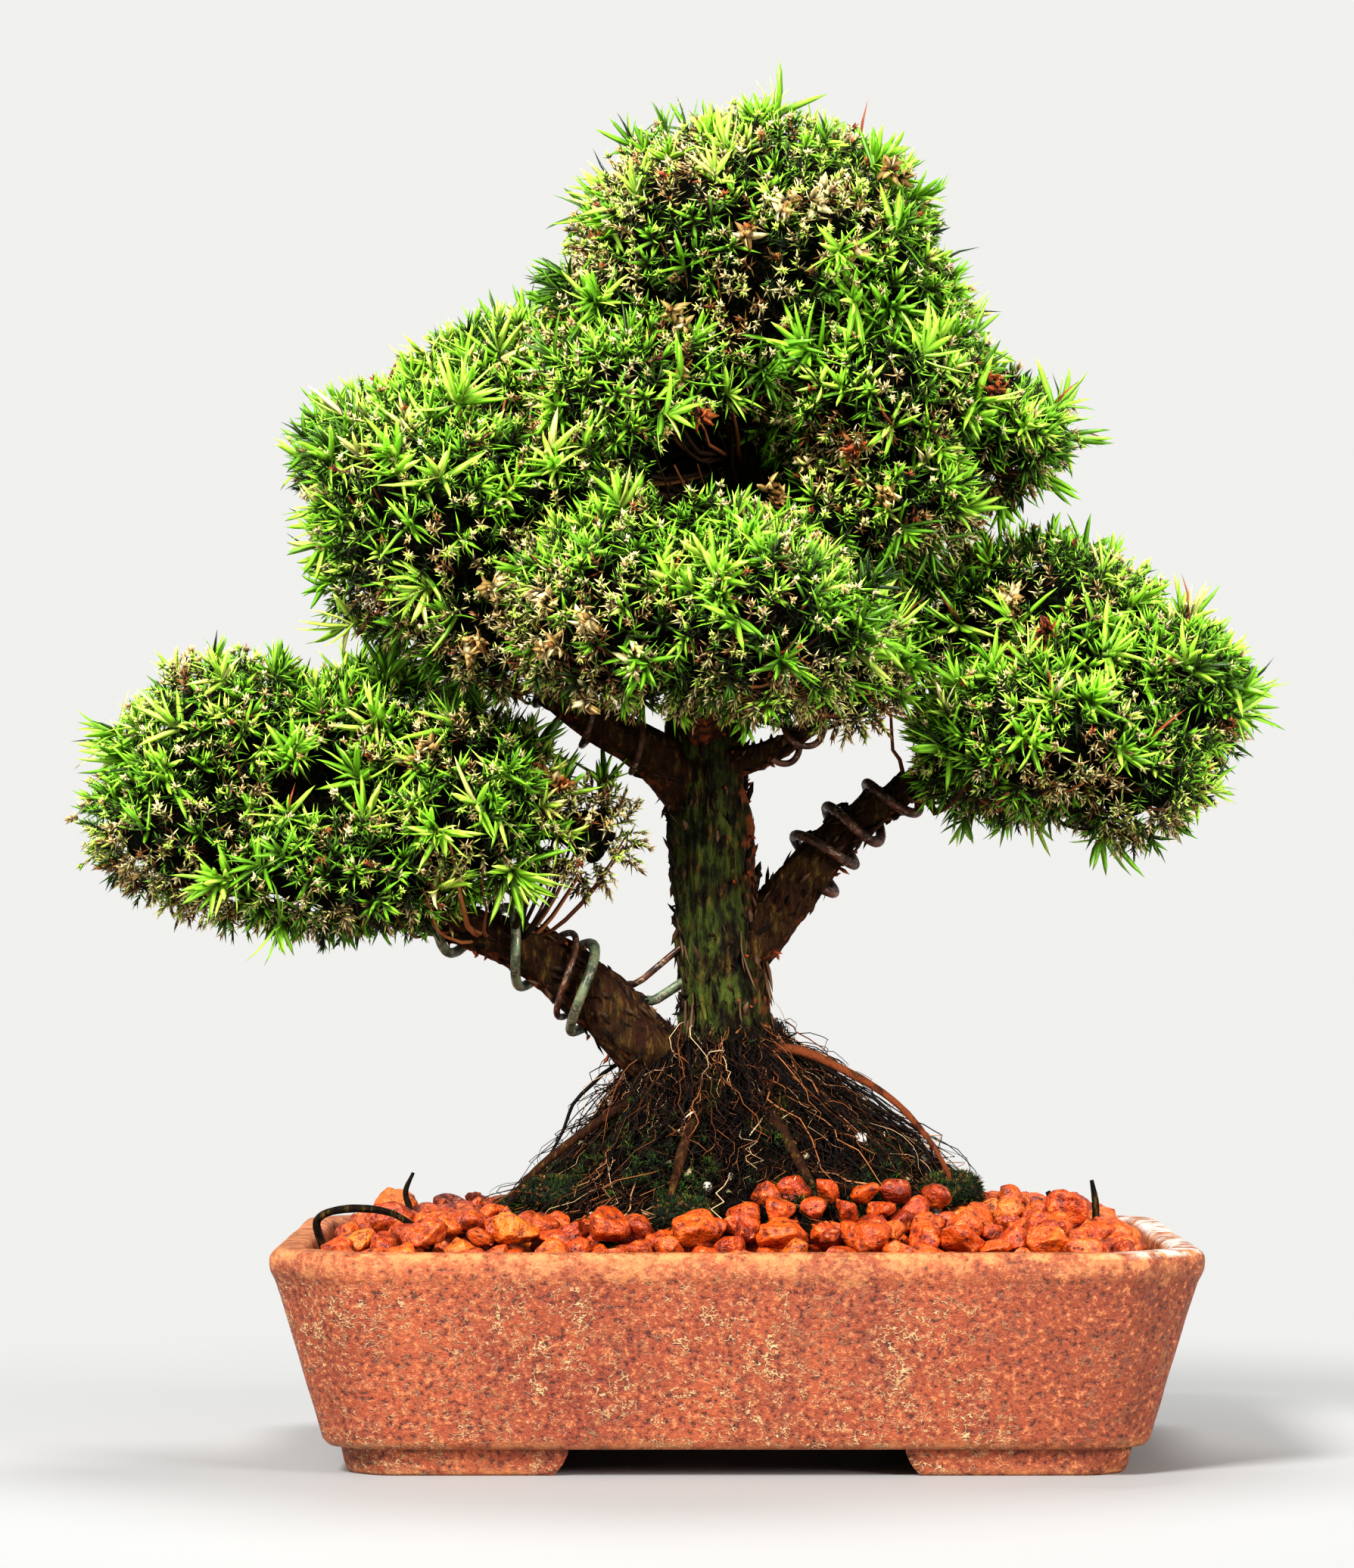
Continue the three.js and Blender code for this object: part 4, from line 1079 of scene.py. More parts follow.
# %% The clay finish: scratches, each with a darker rim
wide = r.group(scratch_marks, Vector=where, Scale=260, Width=0.028, Share=0.50)
fine = r.group(scratch_marks, Vector=where, Scale=560, Width=0.042, Share=0.50)
scratches = r.maths("MAXIMUM", wide, fine)
z_place = r.node("SeparateXYZ", where).outputs[2]
on_wall = r.reach(z_place, 0.053, 0.045)
scratches = r.maths("MULTIPLY", scratches, r.reach(r.noise(where, 34, 3), 0.38, 0.56, 0.2, 1.0))
scratches = r.maths("MULTIPLY", scratches, r.maths("ADD", r.maths("MULTIPLY", on_wall, 0.8), 0.2))
scratches = r.maths("MULTIPLY", scratches, r.reach(x_place, 0.1, 0.07, 0.25, 1.0))
rims = r.group(scratch_marks, Vector=where, Scale=260, Width=0.055, Share=0.50)
rims = r.maths("MULTIPLY", rims, r.maths("ADD", r.maths("MULTIPLY", on_wall, 0.65), 0.1))
colour = r.mix(rims, colour, tone("#541c0e"))
colour = r.mix(scratches, colour, tone("#fac890"))
print("clay scratches ready")

# %% The clay finish: worn edges, bloom and relief
ragged = r.maths("MULTIPLY", r.noise(where, 70, 5, 0.7), 0.024)
lip_band = r.reach(r.maths("ADD", z_place, ragged), 0.0632, 0.0655)
worn = r.maths("MAXIMUM", r.maths("MULTIPLY", r.mark("edge"), 0.85), r.maths("MULTIPLY", lip_band, 0.55))
worn = r.maths("MULTIPLY", worn, r.reach(r.noise(where, 170, 5, 0.75), 0.42, 0.6, 0.1, 1.0), True)
colour = r.mix(worn, colour, tone("#e0955c"))
bloom = r.maths("MULTIPLY", r.reach(x_place, 0.105, 0.128), r.reach(z_place, 0.0562, 0.0578))
bloom = r.maths("MULTIPLY", bloom, r.reach(r.noise(where, 140, 5, 0.7), 0.42, 0.56))
colour = r.mix(bloom, colour, tone("#d9d2c8"))
r.fill(shader.inputs["Base Color"], colour)
r.fill(shader.inputs["Roughness"], r.reach(grain, 0.3, 0.7, 0.42, 0.62))
relief = r.maths("ADD", grain, r.maths("MULTIPLY", scratches, 0.6))
r.fill(shader.inputs["Normal"], r.bump(relief, 0.85, 0.0013))
print("clay finish ready")

# %% Making the pot and its drain holes
pot_faces = [np.concatenate(quads), np.concatenate(caps), plates]
pot = make_piece("pot_clay", np.concatenate(all_points), pot_faces, fired_clay, "fired_clay", ["pot"],
                 {"edge": np.clip(np.concatenate(edges), 0, 1)})


def drill_drains(piece, radius=9.0, offset=56.0):
    """Takes the two drain holes out of the floor, then applies the cut."""
    cutter = bmesh.new()
    for side in (-1, 1):
        place = from_middle([(side * offset, 0, FOOT_HEIGHT + 3)])[0]
        bmesh.ops.create_cone(cutter, cap_ends=True, segments=40, radius1=radius / 1000,
                              radius2=radius / 1000, depth=0.012, matrix=Matrix.Translation(place))
    mesh = bpy.data.meshes.new("drain_cutter")
    cutter.to_mesh(mesh)
    cutter.free()
    tool = bpy.data.objects.new("drain_cutter", mesh)
    bpy.context.scene.collection.objects.link(tool)
    cut = piece.modifiers.new("drains", "BOOLEAN")
    cut.operation, cut.object, cut.solver, cut.use_self = "DIFFERENCE", tool, "EXACT", True
    bpy.context.view_layer.update()
    cut_mesh = bpy.data.meshes.new_from_object(piece.evaluated_get(bpy.context.evaluated_depsgraph_get()))
    piece.modifiers.clear()
    piece.data = cut_mesh
    bpy.data.objects.remove(tool)
    print("pot after drilling:", len(cut_mesh.polygons), "faces")


drill_drains(pot)

# %% [markdown]
# ## Soil, drain screens and clips
# These parts keep the plain solid's own shape, because they are simple shapes that hardly show. They
# only need finishes: crumbly dark soil, slightly scuffed black plastic, and dull steel wire.

# %% Plain parts get finishes
def dress_solid(node, finish):
    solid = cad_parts[node]
    solid.data.materials.clear()
    solid.data.materials.append(finish)


potting_soil, r, shader = new_finish("potting_soil", 0.95)
where = r.place()
crumbs = r.node("TexVoronoi", Vector=where, Scale=420.0)
colour = r.group(mottling, Vector=where, Scale=260, First=tone("#1c130d"), Second=tone("#4a3423"),
                 Softness=0.1)
r.fill(shader.inputs["Base Color"], colour)
r.fill(shader.inputs["Normal"], r.bump(crumbs.outputs["Distance"], 0.9, 0.0015))
screen_plastic, r, shader = new_finish("screen_plastic", 0.5)
where = r.place()
scuffs = r.group(scratch_marks, Vector=where, Scale=500, Width=0.03, Share=0.5)
r.fill(shader.inputs["Base Color"], r.mix(scuffs, tone("#1d201f"), tone("#4b4f4c")))
r.fill(shader.inputs["Roughness"], r.reach(r.noise(where, 300), 0.3, 0.7, 0.4, 0.65))
steel_wire, r, shader = new_finish("steel_wire", 0.35, Metallic=1.0)
stained = r.noise(r.place(), 500, 4)
r.fill(shader.inputs["Base Color"], r.mix(r.reach(stained, 0.5, 0.65), tone("#a9acad"), tone("#6b5a4c")))
r.fill(shader.inputs["Roughness"], r.reach(stained, 0.4, 0.7, 0.28, 0.6))
dress_solid("potting_soil", potting_soil)
for side in ("left", "right"):
    dress_solid(f"drain_screen_{side}", screen_plastic)
    dress_solid(f"screen_clip_{side}", steel_wire)
print("soil, screens and clips dressed")

# %% [markdown]
# ## Red gravel
# Fired red grit, 8 to 12 mm, covers the soil. Each stone starts as a ball that is planed by eleven
# random cuts and then roughened, which gives the blunt corners of real grit. Two layers are scattered
# with even spacing over the bed's height, so no gap shows the bottom; a physics drop would settle them
# too, but would take longer and could roll stones out of the tray.

# %% Height of the bed
GRAVEL_HEIGHT = 48  # the wall's inside is measured here
GRAVEL_X = HALF_LONG - (WALL_START + TAPER * float(body_share(GRAVEL_HEIGHT))) - WALL
GRAVEL_Y = HALF_WIDE - (WALL_START + TAPER * float(body_share(GRAVEL_HEIGHT))) - WALL


def gravel_top(x, y):
    """Height of the bed: it rises from the wall inwards, with a small heap at the right."""
    share = np.maximum(np.abs(x) / GRAVEL_X, np.abs(y) / GRAVEL_Y)
    inward = (1 - share) * GRAVEL_Y
    rise = 6 * smooth_step(inward, 0, 26)
    away = ((x - 0.66 * GRAVEL_X) ** 2 + (y + 0.1 * GRAVEL_Y) ** 2) / 800
    return RIM - 0.5 + rise + 5 * np.exp(-away) * np.clip(inward / 8, 0, 1)


print("gravel bed", round(GRAVEL_X * 2), "x", round(GRAVEL_Y * 2), "mm")

# %% Even scattering
CORNER_ROOM = 15  # what the tray's cut corners take off the bed's
MOUND_X, MOUND_Y = 60, 45  # no stones are needed inside the mound


def scatter(count, gap, rng, keep_off=(), edge=4.6):
    """Random places in the tray that are at least `gap` apart; keep_off lists (x, y, radius)."""
    kept = np.array([[x, y] for x, y, _ in keep_off]).reshape(-1, 2)
    free = np.array([radius for *_, radius in keep_off])
    found = []
    low, high = (-GRAVEL_X + edge, -GRAVEL_Y + edge), (GRAVEL_X - edge, GRAVEL_Y - edge)
    for x, y in rng.uniform(low, high, (count, 2)):
        if abs(x) + abs(y) > GRAVEL_X + GRAVEL_Y - CORNER_ROOM or (x / MOUND_X) ** 2 + (y / MOUND_Y) ** 2 < 1:
            continue
        if len(kept) and (np.hypot(kept[:, 0] - x, kept[:, 1] - y) < free).any():
            continue
        kept = np.vstack([kept, [x, y]])
        free = np.append(free, gap)
        found.append((x, y))
    return np.array(found)


print("scattering ready")

# %% Cutting the stones
def ball_of(subdivisions):
    shape = bmesh.new()
    bmesh.ops.create_icosphere(shape, subdivisions=subdivisions, radius=1)
    points = np.array([v.co for v in shape.verts])
    faces = np.array([[v.index for v in f.verts] for f in shape.faces])
    shape.free()
    return points, faces


def turned(rng, n, tip):
    """Random turns about the vertical, each tipped by up to about `tip` radians."""
    spin, lean, way = rng.uniform(0, 6.28, n), rng.normal(0, tip, n), rng.uniform(0, 6.28, n)
    c, s, zero, one = np.cos(spin), np.sin(spin), np.zeros(n), np.ones(n)
    flat = np.stack([c, -s, zero, s, c, zero, zero, zero, one], -1).reshape(n, 3, 3)
    axis = np.stack([np.cos(way), np.sin(way), zero], -1)
    cross = np.zeros((n, 3, 3))
    cross[:, 0, 1], cross[:, 0, 2], cross[:, 1, 2] = -axis[:, 2], axis[:, 1], -axis[:, 0]
    cross -= cross.transpose(0, 2, 1)
    tilt = np.eye(3) + np.sin(lean)[:, None, None] * cross + (1 - np.cos(lean))[:, None, None] * cross @ cross
    return tilt @ flat


def make_stones(name, middles, sizes, finish, slot, stands_for, seed, tip=0.55, cuts=11, fineness=3):
    """Planed and roughened balls with their middles and half sizes in metres, as one piece."""
    rng = np.random.default_rng(seed)
    ball, faces = ball_of(fineness)
    n = len(middles)
    points = np.broadcast_to(ball, (n, *ball.shape)).copy()
    for _ in range(cuts):
        plane, depth = random_directions(rng, n), rng.uniform(0.52, 0.82, n)
        beyond = np.einsum("nij,nj->ni", points, plane) - depth[:, None]
        points -= plane[:, None] * (np.logaddexp(0, beyond * 40) / 40)[..., None]
    places = points * 3.1 + rng.uniform(0, 900, (n, 1, 3))
    points *= (1 + 0.10 * lumps(places, 2.2, seed, 2) + 0.055 * lumps(places, 0.7, seed + 1, 2))[..., None]
    points = np.einsum("nij,nkj->nki", turned(rng, n, tip), points * sizes[:, None]) + middles[:, None]
    start = (np.arange(n) * len(ball))[:, None, None]
    side = int(math.ceil(math.sqrt(n)))
    cell = np.stack([np.arange(n) % side, np.arange(n) // side], -1) / side
    upper = ball[faces].mean(1)[:, 2] > 0
    flat = ball[faces][..., :2] * [0.23, 0.46] + np.where(upper[:, None, None], [0.25, 0.5], [0.75, 0.5])
    uv = cell[:, None, None] + flat[None] / side
    marks = {"shade": np.repeat(rng.random(n), len(ball))}
    return make_piece(name, points.reshape(-1, 3), [(faces + start).reshape(-1, 3)], finish, slot, stands_for,
                      marks, uv)


print("stone maker ready,", len(ball_of(3)[1]), "faces a stone")

# %% [markdown]
# ### Wet grit
# Each stone takes its own red from one colour scale, which saves a material for every stone. Painted
# highlights, dark stains and small pits come from noise; the pits are painted darker as the shade in
# them, and the stains are duller than the wet faces.

# %% The gravel finish
red_gravel, r, shader = new_finish("red_gravel", 0.3, Specular_IOR_Level=0.6)
where = r.place()
own = r.scale_of(r.mark("shade"), (0.0, "#842808"), (0.3, "#b8420b"), (0.6, "#d0570f"), (0.85, "#9e380a"),
                 (1.0, "#e27422"))
spots = r.noise(where, 420, 4, 0.65)
pits = r.node("TexVoronoi", Vector=where, Scale=650.0, feature="F1")
# painted highlights: paler patches from noise, where the stone is also glossiest
colour = r.mix(r.reach(spots, 0.52, 0.66, 0, 0.6), own, tone("#ee8038"))
colour = r.mix(r.reach(spots, 0.485, 0.36, 0, 0.8), colour, tone("#54180a"))
# the pits are dented by the bump and also painted darker as the shade inside them
pit_depth_and_shade = r.maths("MULTIPLY", r.reach(pits.outputs["Distance"], 0.28, 0.12), r.reach(spots, 0.5, 0.42))
colour = r.mix(r.maths("MULTIPLY", pit_depth_and_shade, 0.6), colour, tone("#3a1208"))
r.fill(shader.inputs["Base Color"], colour)
r.fill(shader.inputs["Roughness"], r.reach(spots, 0.35, 0.65, 0.5, 0.22))
relief = r.maths("SUBTRACT", spots, r.maths("MULTIPLY", pit_depth_and_shade, 0.6))
r.fill(shader.inputs["Normal"], r.bump(relief, 0.8, 0.0018))
print("gravel finish ready")

# %% The loose stones
STONE_ROOM = 8.6  # the top layer keeps this far from a loose stone's middle
loose = [f"stone_front_{k}" for k in range(1, 9)] + [f"stone_side_{k}" for k in range(1, 5)]
loose_spots = []
for number, node in enumerate(loose):
    low, high = (np.array(corner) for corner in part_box(node))
    middle, size = (low + high) / 2, (high - low) / 2 * 1.12
    make_stones(node + "_grit", middle[None], size[None] * 1.12, red_gravel, "red_gravel", [node],
                500 + number, 0.15, 8, 4)
    loose_spots.append((middle[0] * 1000 - pot_middle[0], middle[1] * 1000 - pot_middle[1], STONE_ROOM))

# %% Two layers of gravel
# Seed, gap between stones, and how far the layer lies below the top of the bed
LAYERS = {"gravel_upper": (61, 6.5, 1.6), "gravel_lower": (62, 7.0, 6.6)}
# Stones that have rolled up against the roots at the front right: x, y and height above the bed
ROLLED = np.array([(2, -51, 2.5), (11, -52, 3), (20, -50, 3.5), (29, -51, 3), (38, -49, 3),
                   (47, -46, 2.5), (8, -46, 7), (24, -45, 8), (34, -44, 7.5), (16, -45, 7.5),
                   (42, -41, 7), (52, -38, 5)], float)
for layer, (seed, gap, sink) in LAYERS.items():
    rng = np.random.default_rng(seed)
    spots = scatter(9000, gap, rng, loose_spots if layer == "gravel_upper" else ())
    size = rng.uniform(4.1, 6.2, len(spots))[:, None]
    size = size * rng.uniform((0.95, 0.72, 0.55), (1.12, 0.95, 0.8), (len(spots), 3))
    height = gravel_top(*spots.T) - sink + rng.normal(0, 0.9, len(spots))
    if layer == "gravel_upper":
        spots = np.vstack([spots, ROLLED[:, :2]])
        height = np.append(height, gravel_top(*ROLLED[:, :2].T) + ROLLED[:, 2])
        size = np.vstack([size, rng.uniform((4.6, 4.0, 3.4), (6.0, 5.0, 4.4), (len(ROLLED), 3))])
    make_stones(layer, from_middle(np.column_stack([spots, height])), size / 1000, red_gravel, "red_gravel",
                ["gravel_bed"], seed)

# %% [markdown]
# ## The root mound
# Years of fine roots have matted into a dark cone under the trunk. It is made as the eye reads it: a
# rough body that gives the shape, painted nearly black partly as damp soil and partly as the shade
# between the roots, then thousands of separate root hairs and some thicker roots that creep down over
# it. A hair system could grow them, but it would stand them on end; here their paths wander in angle
# and drop in height, and always sit just on the body.

# %% The shape of the mound
# Height above the rim, middle, and the shares of the foot's half length and half width there
MOUND = np.array([(-9.7, 0, 1, 1), (4, 0, 1, 1), (10, 1, 0.89, 0.9), (16, 2, 0.785, 0.775),
                  (24, 3, 0.66, 0.655), (36, 0, 0.48, 0.51), (46, -3, 0.34, 0.39), (52, -4, 0.26, 0.306)])
MOUND_HALF_LONG, MOUND_HALF_WIDE, MOUND_TOP, MOUND_SIDES = 65, 49, 52, 260


def mound_place(angle, height, lift=0.0):
    """A point on the mound in metres; height is above the rim and lift is outwards, in millimetres."""
    middle = np.interp(height, MOUND[:, 0], MOUND[:, 1])
    long = np.interp(height, MOUND[:, 0], MOUND[:, 2]) * MOUND_HALF_LONG
    wide = np.interp(height, MOUND[:, 0], MOUND[:, 3]) * MOUND_HALF_WIDE
    z = RIM + height
    ridge = 1 + 0.05 * np.sin(9 * angle + z / 9) + 0.04 * np.sin(5 * angle - z / 14)
    x = middle + (long * ridge + lift) * np.cos(angle)
    y = (wide * ridge + lift) * np.sin(angle)
    return from_middle(np.stack(np.broadcast_arrays(x, y, z + 0.3 * lift), -1))


def make_mound():
    angles = np.linspace(0, 2 * np.pi, MOUND_SIDES, endpoint=False)
    heights = np.concatenate([np.linspace(-9.7, 0, 5)[:-1], np.linspace(0, MOUND_TOP, 92)])
    grid = mound_place(angles[None], heights[:, None])
    out = unit(np.stack([np.cos(angles), np.sin(angles), np.full(MOUND_SIDES, 0.35)], -1))[None]
    rough = 1.5 * lumps(grid, 0.010, 71, 2) + 1.1 * lumps(grid, 0.0035, 72, 2)
    rough += 0.5 * lumps(grid * [1, 1, 0.4], 0.0012, 73, 1)
    points = (grid + out * (rough - 0.5)[..., None] / 1000).reshape(-1, 3)
    rows, top = len(heights), len(points)
    points = np.vstack([points, points[-MOUND_SIDES:].mean(0), points[:MOUND_SIDES].mean(0)])
    ring = np.arange(MOUND_SIDES)
    last = (rows - 1) * MOUND_SIDES
    caps = [np.stack([ring + last, np.roll(ring, -1) + last, np.full(MOUND_SIDES, top)], -1),
            np.stack([np.roll(ring, -1), ring, np.full(MOUND_SIDES, top + 1)], -1)]
    make_piece("root_mound_body", points, [ring_quads(rows, MOUND_SIDES), np.concatenate(caps)], matted_soil,
               "matted_roots", ["root_mound"])


print("mound", MOUND_HALF_LONG * 2, "x", MOUND_HALF_WIDE * 2, "x", MOUND_TOP, "mm above the rim")


# %% Mound finishes
matted_soil, r, shader = new_finish("matted_soil", 0.95, Specular_IOR_Level=0.05)
where = r.place()
# the body is painted nearly black: partly damp soil, partly the shade between the roots
damp_soil_and_shade = r.group(mottling, Vector=where, Scale=110, First=tone("#040202"), Second=tone("#120b06"),
               Softness=0.08)
crumb = r.noise(where, 900, 4, 0.7)
colour = r.mix(r.reach(crumb, 0.58, 0.72), damp_soil_and_shade, tone("#4a3421"))
moss_film = r.maths("MULTIPLY", r.reach(r.noise(where, 70, 3), 0.54, 0.62), r.reach(crumb, 0.42, 0.55))
colour = r.mix(r.maths("MULTIPLY", moss_film, 0.75), colour, tone("#3d4a1b"))
r.fill(shader.inputs["Base Color"], colour)
r.fill(shader.inputs["Normal"], r.bump(crumb, 1.0, 0.002))
make_mound()

# %% [markdown]
# ### Fine roots
# Roots run from near black to straw, mostly dark. As with the leaves, one colour scale read at `shade`
# gives each its own, and `along` darkens the end that comes out of the soil.

# %% Root finish
root_scale, r, given, result = new_effect(
    "root_colour", {"Shade": ("Float", 0.3), "Along": ("Float", 0.5)}, {"Color": "Color"})
scale = r.scale_of(given.outputs["Shade"], (0.0, "#070403"), (0.25, "#1c110a"), (0.42, "#2c190d"),
                   (0.58, "#5c3119"), (0.72, "#a56a3e"), (0.86, "#dcc096"), (1.0, "#f0e2c4"))
buried = r.reach(given.outputs["Along"], 0.0, 0.25, 0.5, 0.0)
r.fill(result.inputs["Color"], r.mix(buried, scale, tone("#140d08")))
fine_roots, r, shader = new_finish("fine_roots", 0.7, Specular_IOR_Level=0.15)
r.fill(shader.inputs["Base Color"], r.group(root_scale, Shade=r.mark("shade"), Along=r.mark("along")))
print("root finish ready")

# %% Paths of creeping roots
def creeping_paths(rng, count, steps, start_height, drop, wander, lift):
    """Lines that wander down the mound; a few arch well clear of it."""
    t = np.linspace(0, 1, steps)[None]
    angle = rng.uniform(0, 2 * np.pi, (count, 1)) + np.cumsum(rng.normal(0, wander, (count, steps)), 1)
    high = rng.uniform(*start_height, (count, 1))
    height = high - t * rng.uniform(*drop, (count, 1)) + np.cumsum(rng.normal(0, 0.5, (count, steps)), 1)
    height = np.clip(height, 2.0, 57.0)
    high_arch = 8 * rng.uniform(0, 1, (count, 1)) ** 6
    lifted = rng.uniform(*lift, (count, 1)) + 4 * t * (1 - t) * high_arch
    return mound_place(angle, height, lifted + rng.normal(0, 0.2, (count, steps)))


print("root paths ready")

# %% Root hairs over the mound
# Count, steps, sides, starting heights, drops, wander, lift, radii, top shade and share of pale ones
FINE_HAIRS = ((2200, 9, 4, (5, 57), (5, 22), 0.055, (0.1, 1.8), (0.08, 0.18), 0.95, 0.16),)
THICK_HAIRS = ((460, 12, 5, (10, 57), (8, 32), 0.045, (0.3, 1.8), (0.14, 0.28), 0.85, 0.03),
               (54, 14, 6, (16, 55), (14, 46), 0.03, (0.3, 1.4), (0.35, 0.7), 0.55, 0.0))
LOOSE_ENDS = 900
END_SHADES = {0.05: 0.36, 0.3: 0.3, 0.5: 0.18, 0.7: 0.09, 0.9: 0.07}


def add_strands(hairs, rng, grades):
    for count, steps, sides, starts, drop, wander, lift, thick, top_shade, pale in grades:
        paths = creeping_paths(rng, count, steps, starts, drop, wander, lift)
        radii = rng.uniform(*thick, (count, 1)) * np.linspace(1, 0.45, steps)[None] / 1000
        shade = top_shade * rng.beta(0.7, 2.4, count)
        shade = np.where(rng.random(count) < pale, rng.uniform(0.56, 0.84, count), shade)
        add_tubes(hairs, paths, radii, sides, shade)


def add_loose_ends(hairs, rng):
    """Short broken ends that stand off between the strands."""
    roots = mound_place(rng.uniform(0, 2 * np.pi, LOOSE_ENDS), rng.uniform(3, 56, LOOSE_ENDS), 1.0)
    shade = drawn(rng, END_SHADES, LOOSE_ENDS)
    directions = unit(random_directions(rng, LOOSE_ENDS) + [0, 0, -0.3])
    add_needles(hairs, roots, directions, rng.uniform(0.0015, 0.007, LOOSE_ENDS),
                rng.uniform(0.00010, 0.00034, LOOSE_ENDS), shade, 0.4, (0.0, 0.3, 0.65), 0.7, rng)


rng = np.random.default_rng(75)
fine, thick = Heap(), Heap()
add_strands(fine, rng, FINE_HAIRS)
fine.piece("root_mound_fine_hairs", fine_roots, "matted_roots", ["root_mound"])
add_strands(thick, rng, THICK_HAIRS)
add_loose_ends(thick, rng)
thick.piece("root_mound_hairs", fine_roots, "matted_roots", ["root_mound"])

# %% [markdown]
# ### Grit and crumbs
# Crumbs of pale grit and old soil are caught in the roots. They are stones like the gravel, only
# smaller and flecked in more colours, so the same stone maker is used.

# %% Grit and crumbs caught in the roots
def make_grit(n=46):
    rng = np.random.default_rng(76)
    angle, height = rng.uniform(0, 2 * np.pi, n), rng.uniform(4, 26, n)
    middles = mound_place(angle, height, 0.8)
    size = rng.uniform(0.8, 2.1, (n, 1)) * rng.uniform(0.7, 1.2, (n, 3)) / 1000
    make_stones("root_mound_grit", middles, size, pale_grit, "matted_roots", ["root_mound"], 77, 1.2, 7, 2)


pale_grit, r, shader = new_finish("pale_grit", 0.6)
own = r.scale_of(r.mark("shade"), (0.0, "#d8d2c2"), (0.3, "#8d8a5a"), (0.55, "#4a3a2a"), (0.8, "#b3a27e"),
                 (1.0, "#efe9dc"))
speck = r.noise(r.place(), 1500, 3)
r.fill(shader.inputs["Base Color"], r.mix(r.reach(speck, 0.55, 0.7, 0, 0.6), own, tone("#3a2f24")))
r.fill(shader.inputs["Normal"], r.bump(speck, 0.6, 0.0006))
make_grit()

# %% [markdown]
# ## Wood
# Trunk, limbs and surface roots grew as one, so they are one piece. Each limb is a skin of rings along
# a smooth line through its centre points. A skin modifier would pinch at the forks, so plain rings are
# used, which simply run into each other. The bark is old and deeply furrowed: noise that is drawn out
# along the limb lifts ridges, and thin plates of bark stand off the trunk.

# %% Centre points of the limbs: x, y, height above the rim, radius, in millimetres
LIMBS = {
    "trunk": [(-2, 0, 14, 15), (-2, 0, 36, 14), (-2, 0, 50, 12.6), (-3, 0, 66, 11.6), (-4, 0, 84, 11.4),
              (-7, 0, 112, 11.2), (-8, 1, 127, 10.8), (-8, 3, 144, 9.6), (-5, 4, 164, 8.4), (-1, 4, 184, 7.2),
              (2, 2, 205, 5.9), (4, 0, 228, 4.4), (5, 0, 250, 2.6)],
    "lower_left": [(-7, 0, 38, 8.8), (-24, -6, 50, 9.2), (-37, -8, 63, 9.1), (-50, -8, 73, 8),
                   (-66, -8, 80, 6.3), (-83, -8, 85, 5.2), (-100, -8, 91, 4.2), (-117, -8, 98, 3),
                   (-133, -8, 107, 2)],
    "lower_right": [(-2, 0, 72, 8.8), (10, 0, 84, 8), (20, 0, 97, 7.2), (29, 0, 107, 6.3),
                    (42, -2, 116, 5.1), (58, -4, 128, 4.2), (74, -6, 139, 3), (92, -6, 147, 2)],
    "middle_left": [(-9, 0, 116, 8), (-21, -6, 127, 7.1), (-36, -12, 136, 5.9), (-51, -18, 148, 4.6),
                    (-63, -22, 164, 3.3), (-73, -24, 182, 2.1)],
    "front": [(-8, 0, 133, 6.7), (-9, -16, 141, 5.4), (-12, -34, 149, 4.1), (-13, -50, 157, 2.7),
              (-4, -60, 162, 1.8)],
    "upper_right": [(-1, 4, 184, 5.9), (13, 0, 193, 4.6), (29, -4, 203, 3.6), (47, -8, 212, 2.6),
                    (64, -5, 214, 1.8)],
    "back": [(-4, 4, 158, 5.9), (-5, 22, 168, 4.7), (-6, 38, 182, 3.5), (-7, 50, 200, 2.2)],
    "right_spur": [(-7, 0, 124, 4.8), (8, -8, 128, 3.8), (20, -19, 135, 2.8), (27, -34, 144, 2)],
}
ROOTS = {
    "long_right": [(5, -6, 49, 2.4), (17, -15, 49, 2), (31, -21, 43, 1.8), (43, -24, 35, 1.6),
                   (53, -25, 23, 1.4), (62, -25, 4, 1.2)],
    "long_left": [(-14, -5, 40, 2.4), (-33, -14, 32, 1.9), (-46, -19, 23, 1.5), (-57, -22, 13, 1.3),
                  (-63, -23, 2, 1.2)],
    "front_left": [(-8, -6, 44, 3), (-10, -21, 34, 2.3), (-14, -34, 23, 1.9), (-19, -45, 5, 1.4)],
    "front_right": [(3, -6, 42, 3), (10, -24, 32, 2.2), (17, -36, 20, 1.8), (25, -47, 4, 1.4)],
    "back_right": [(6, 5, 42, 3.4), (24, 18, 30, 2.6), (40, 27, 17, 2), (52, 34, 3, 1.5)],
    "back_left": [(-10, 6, 42, 3.4), (-26, 20, 28, 2.6), (-40, 30, 14, 2), (-50, 36, 3, 1.5)],
}
print(len(LIMBS), "limbs and", len(ROOTS), "surface roots")

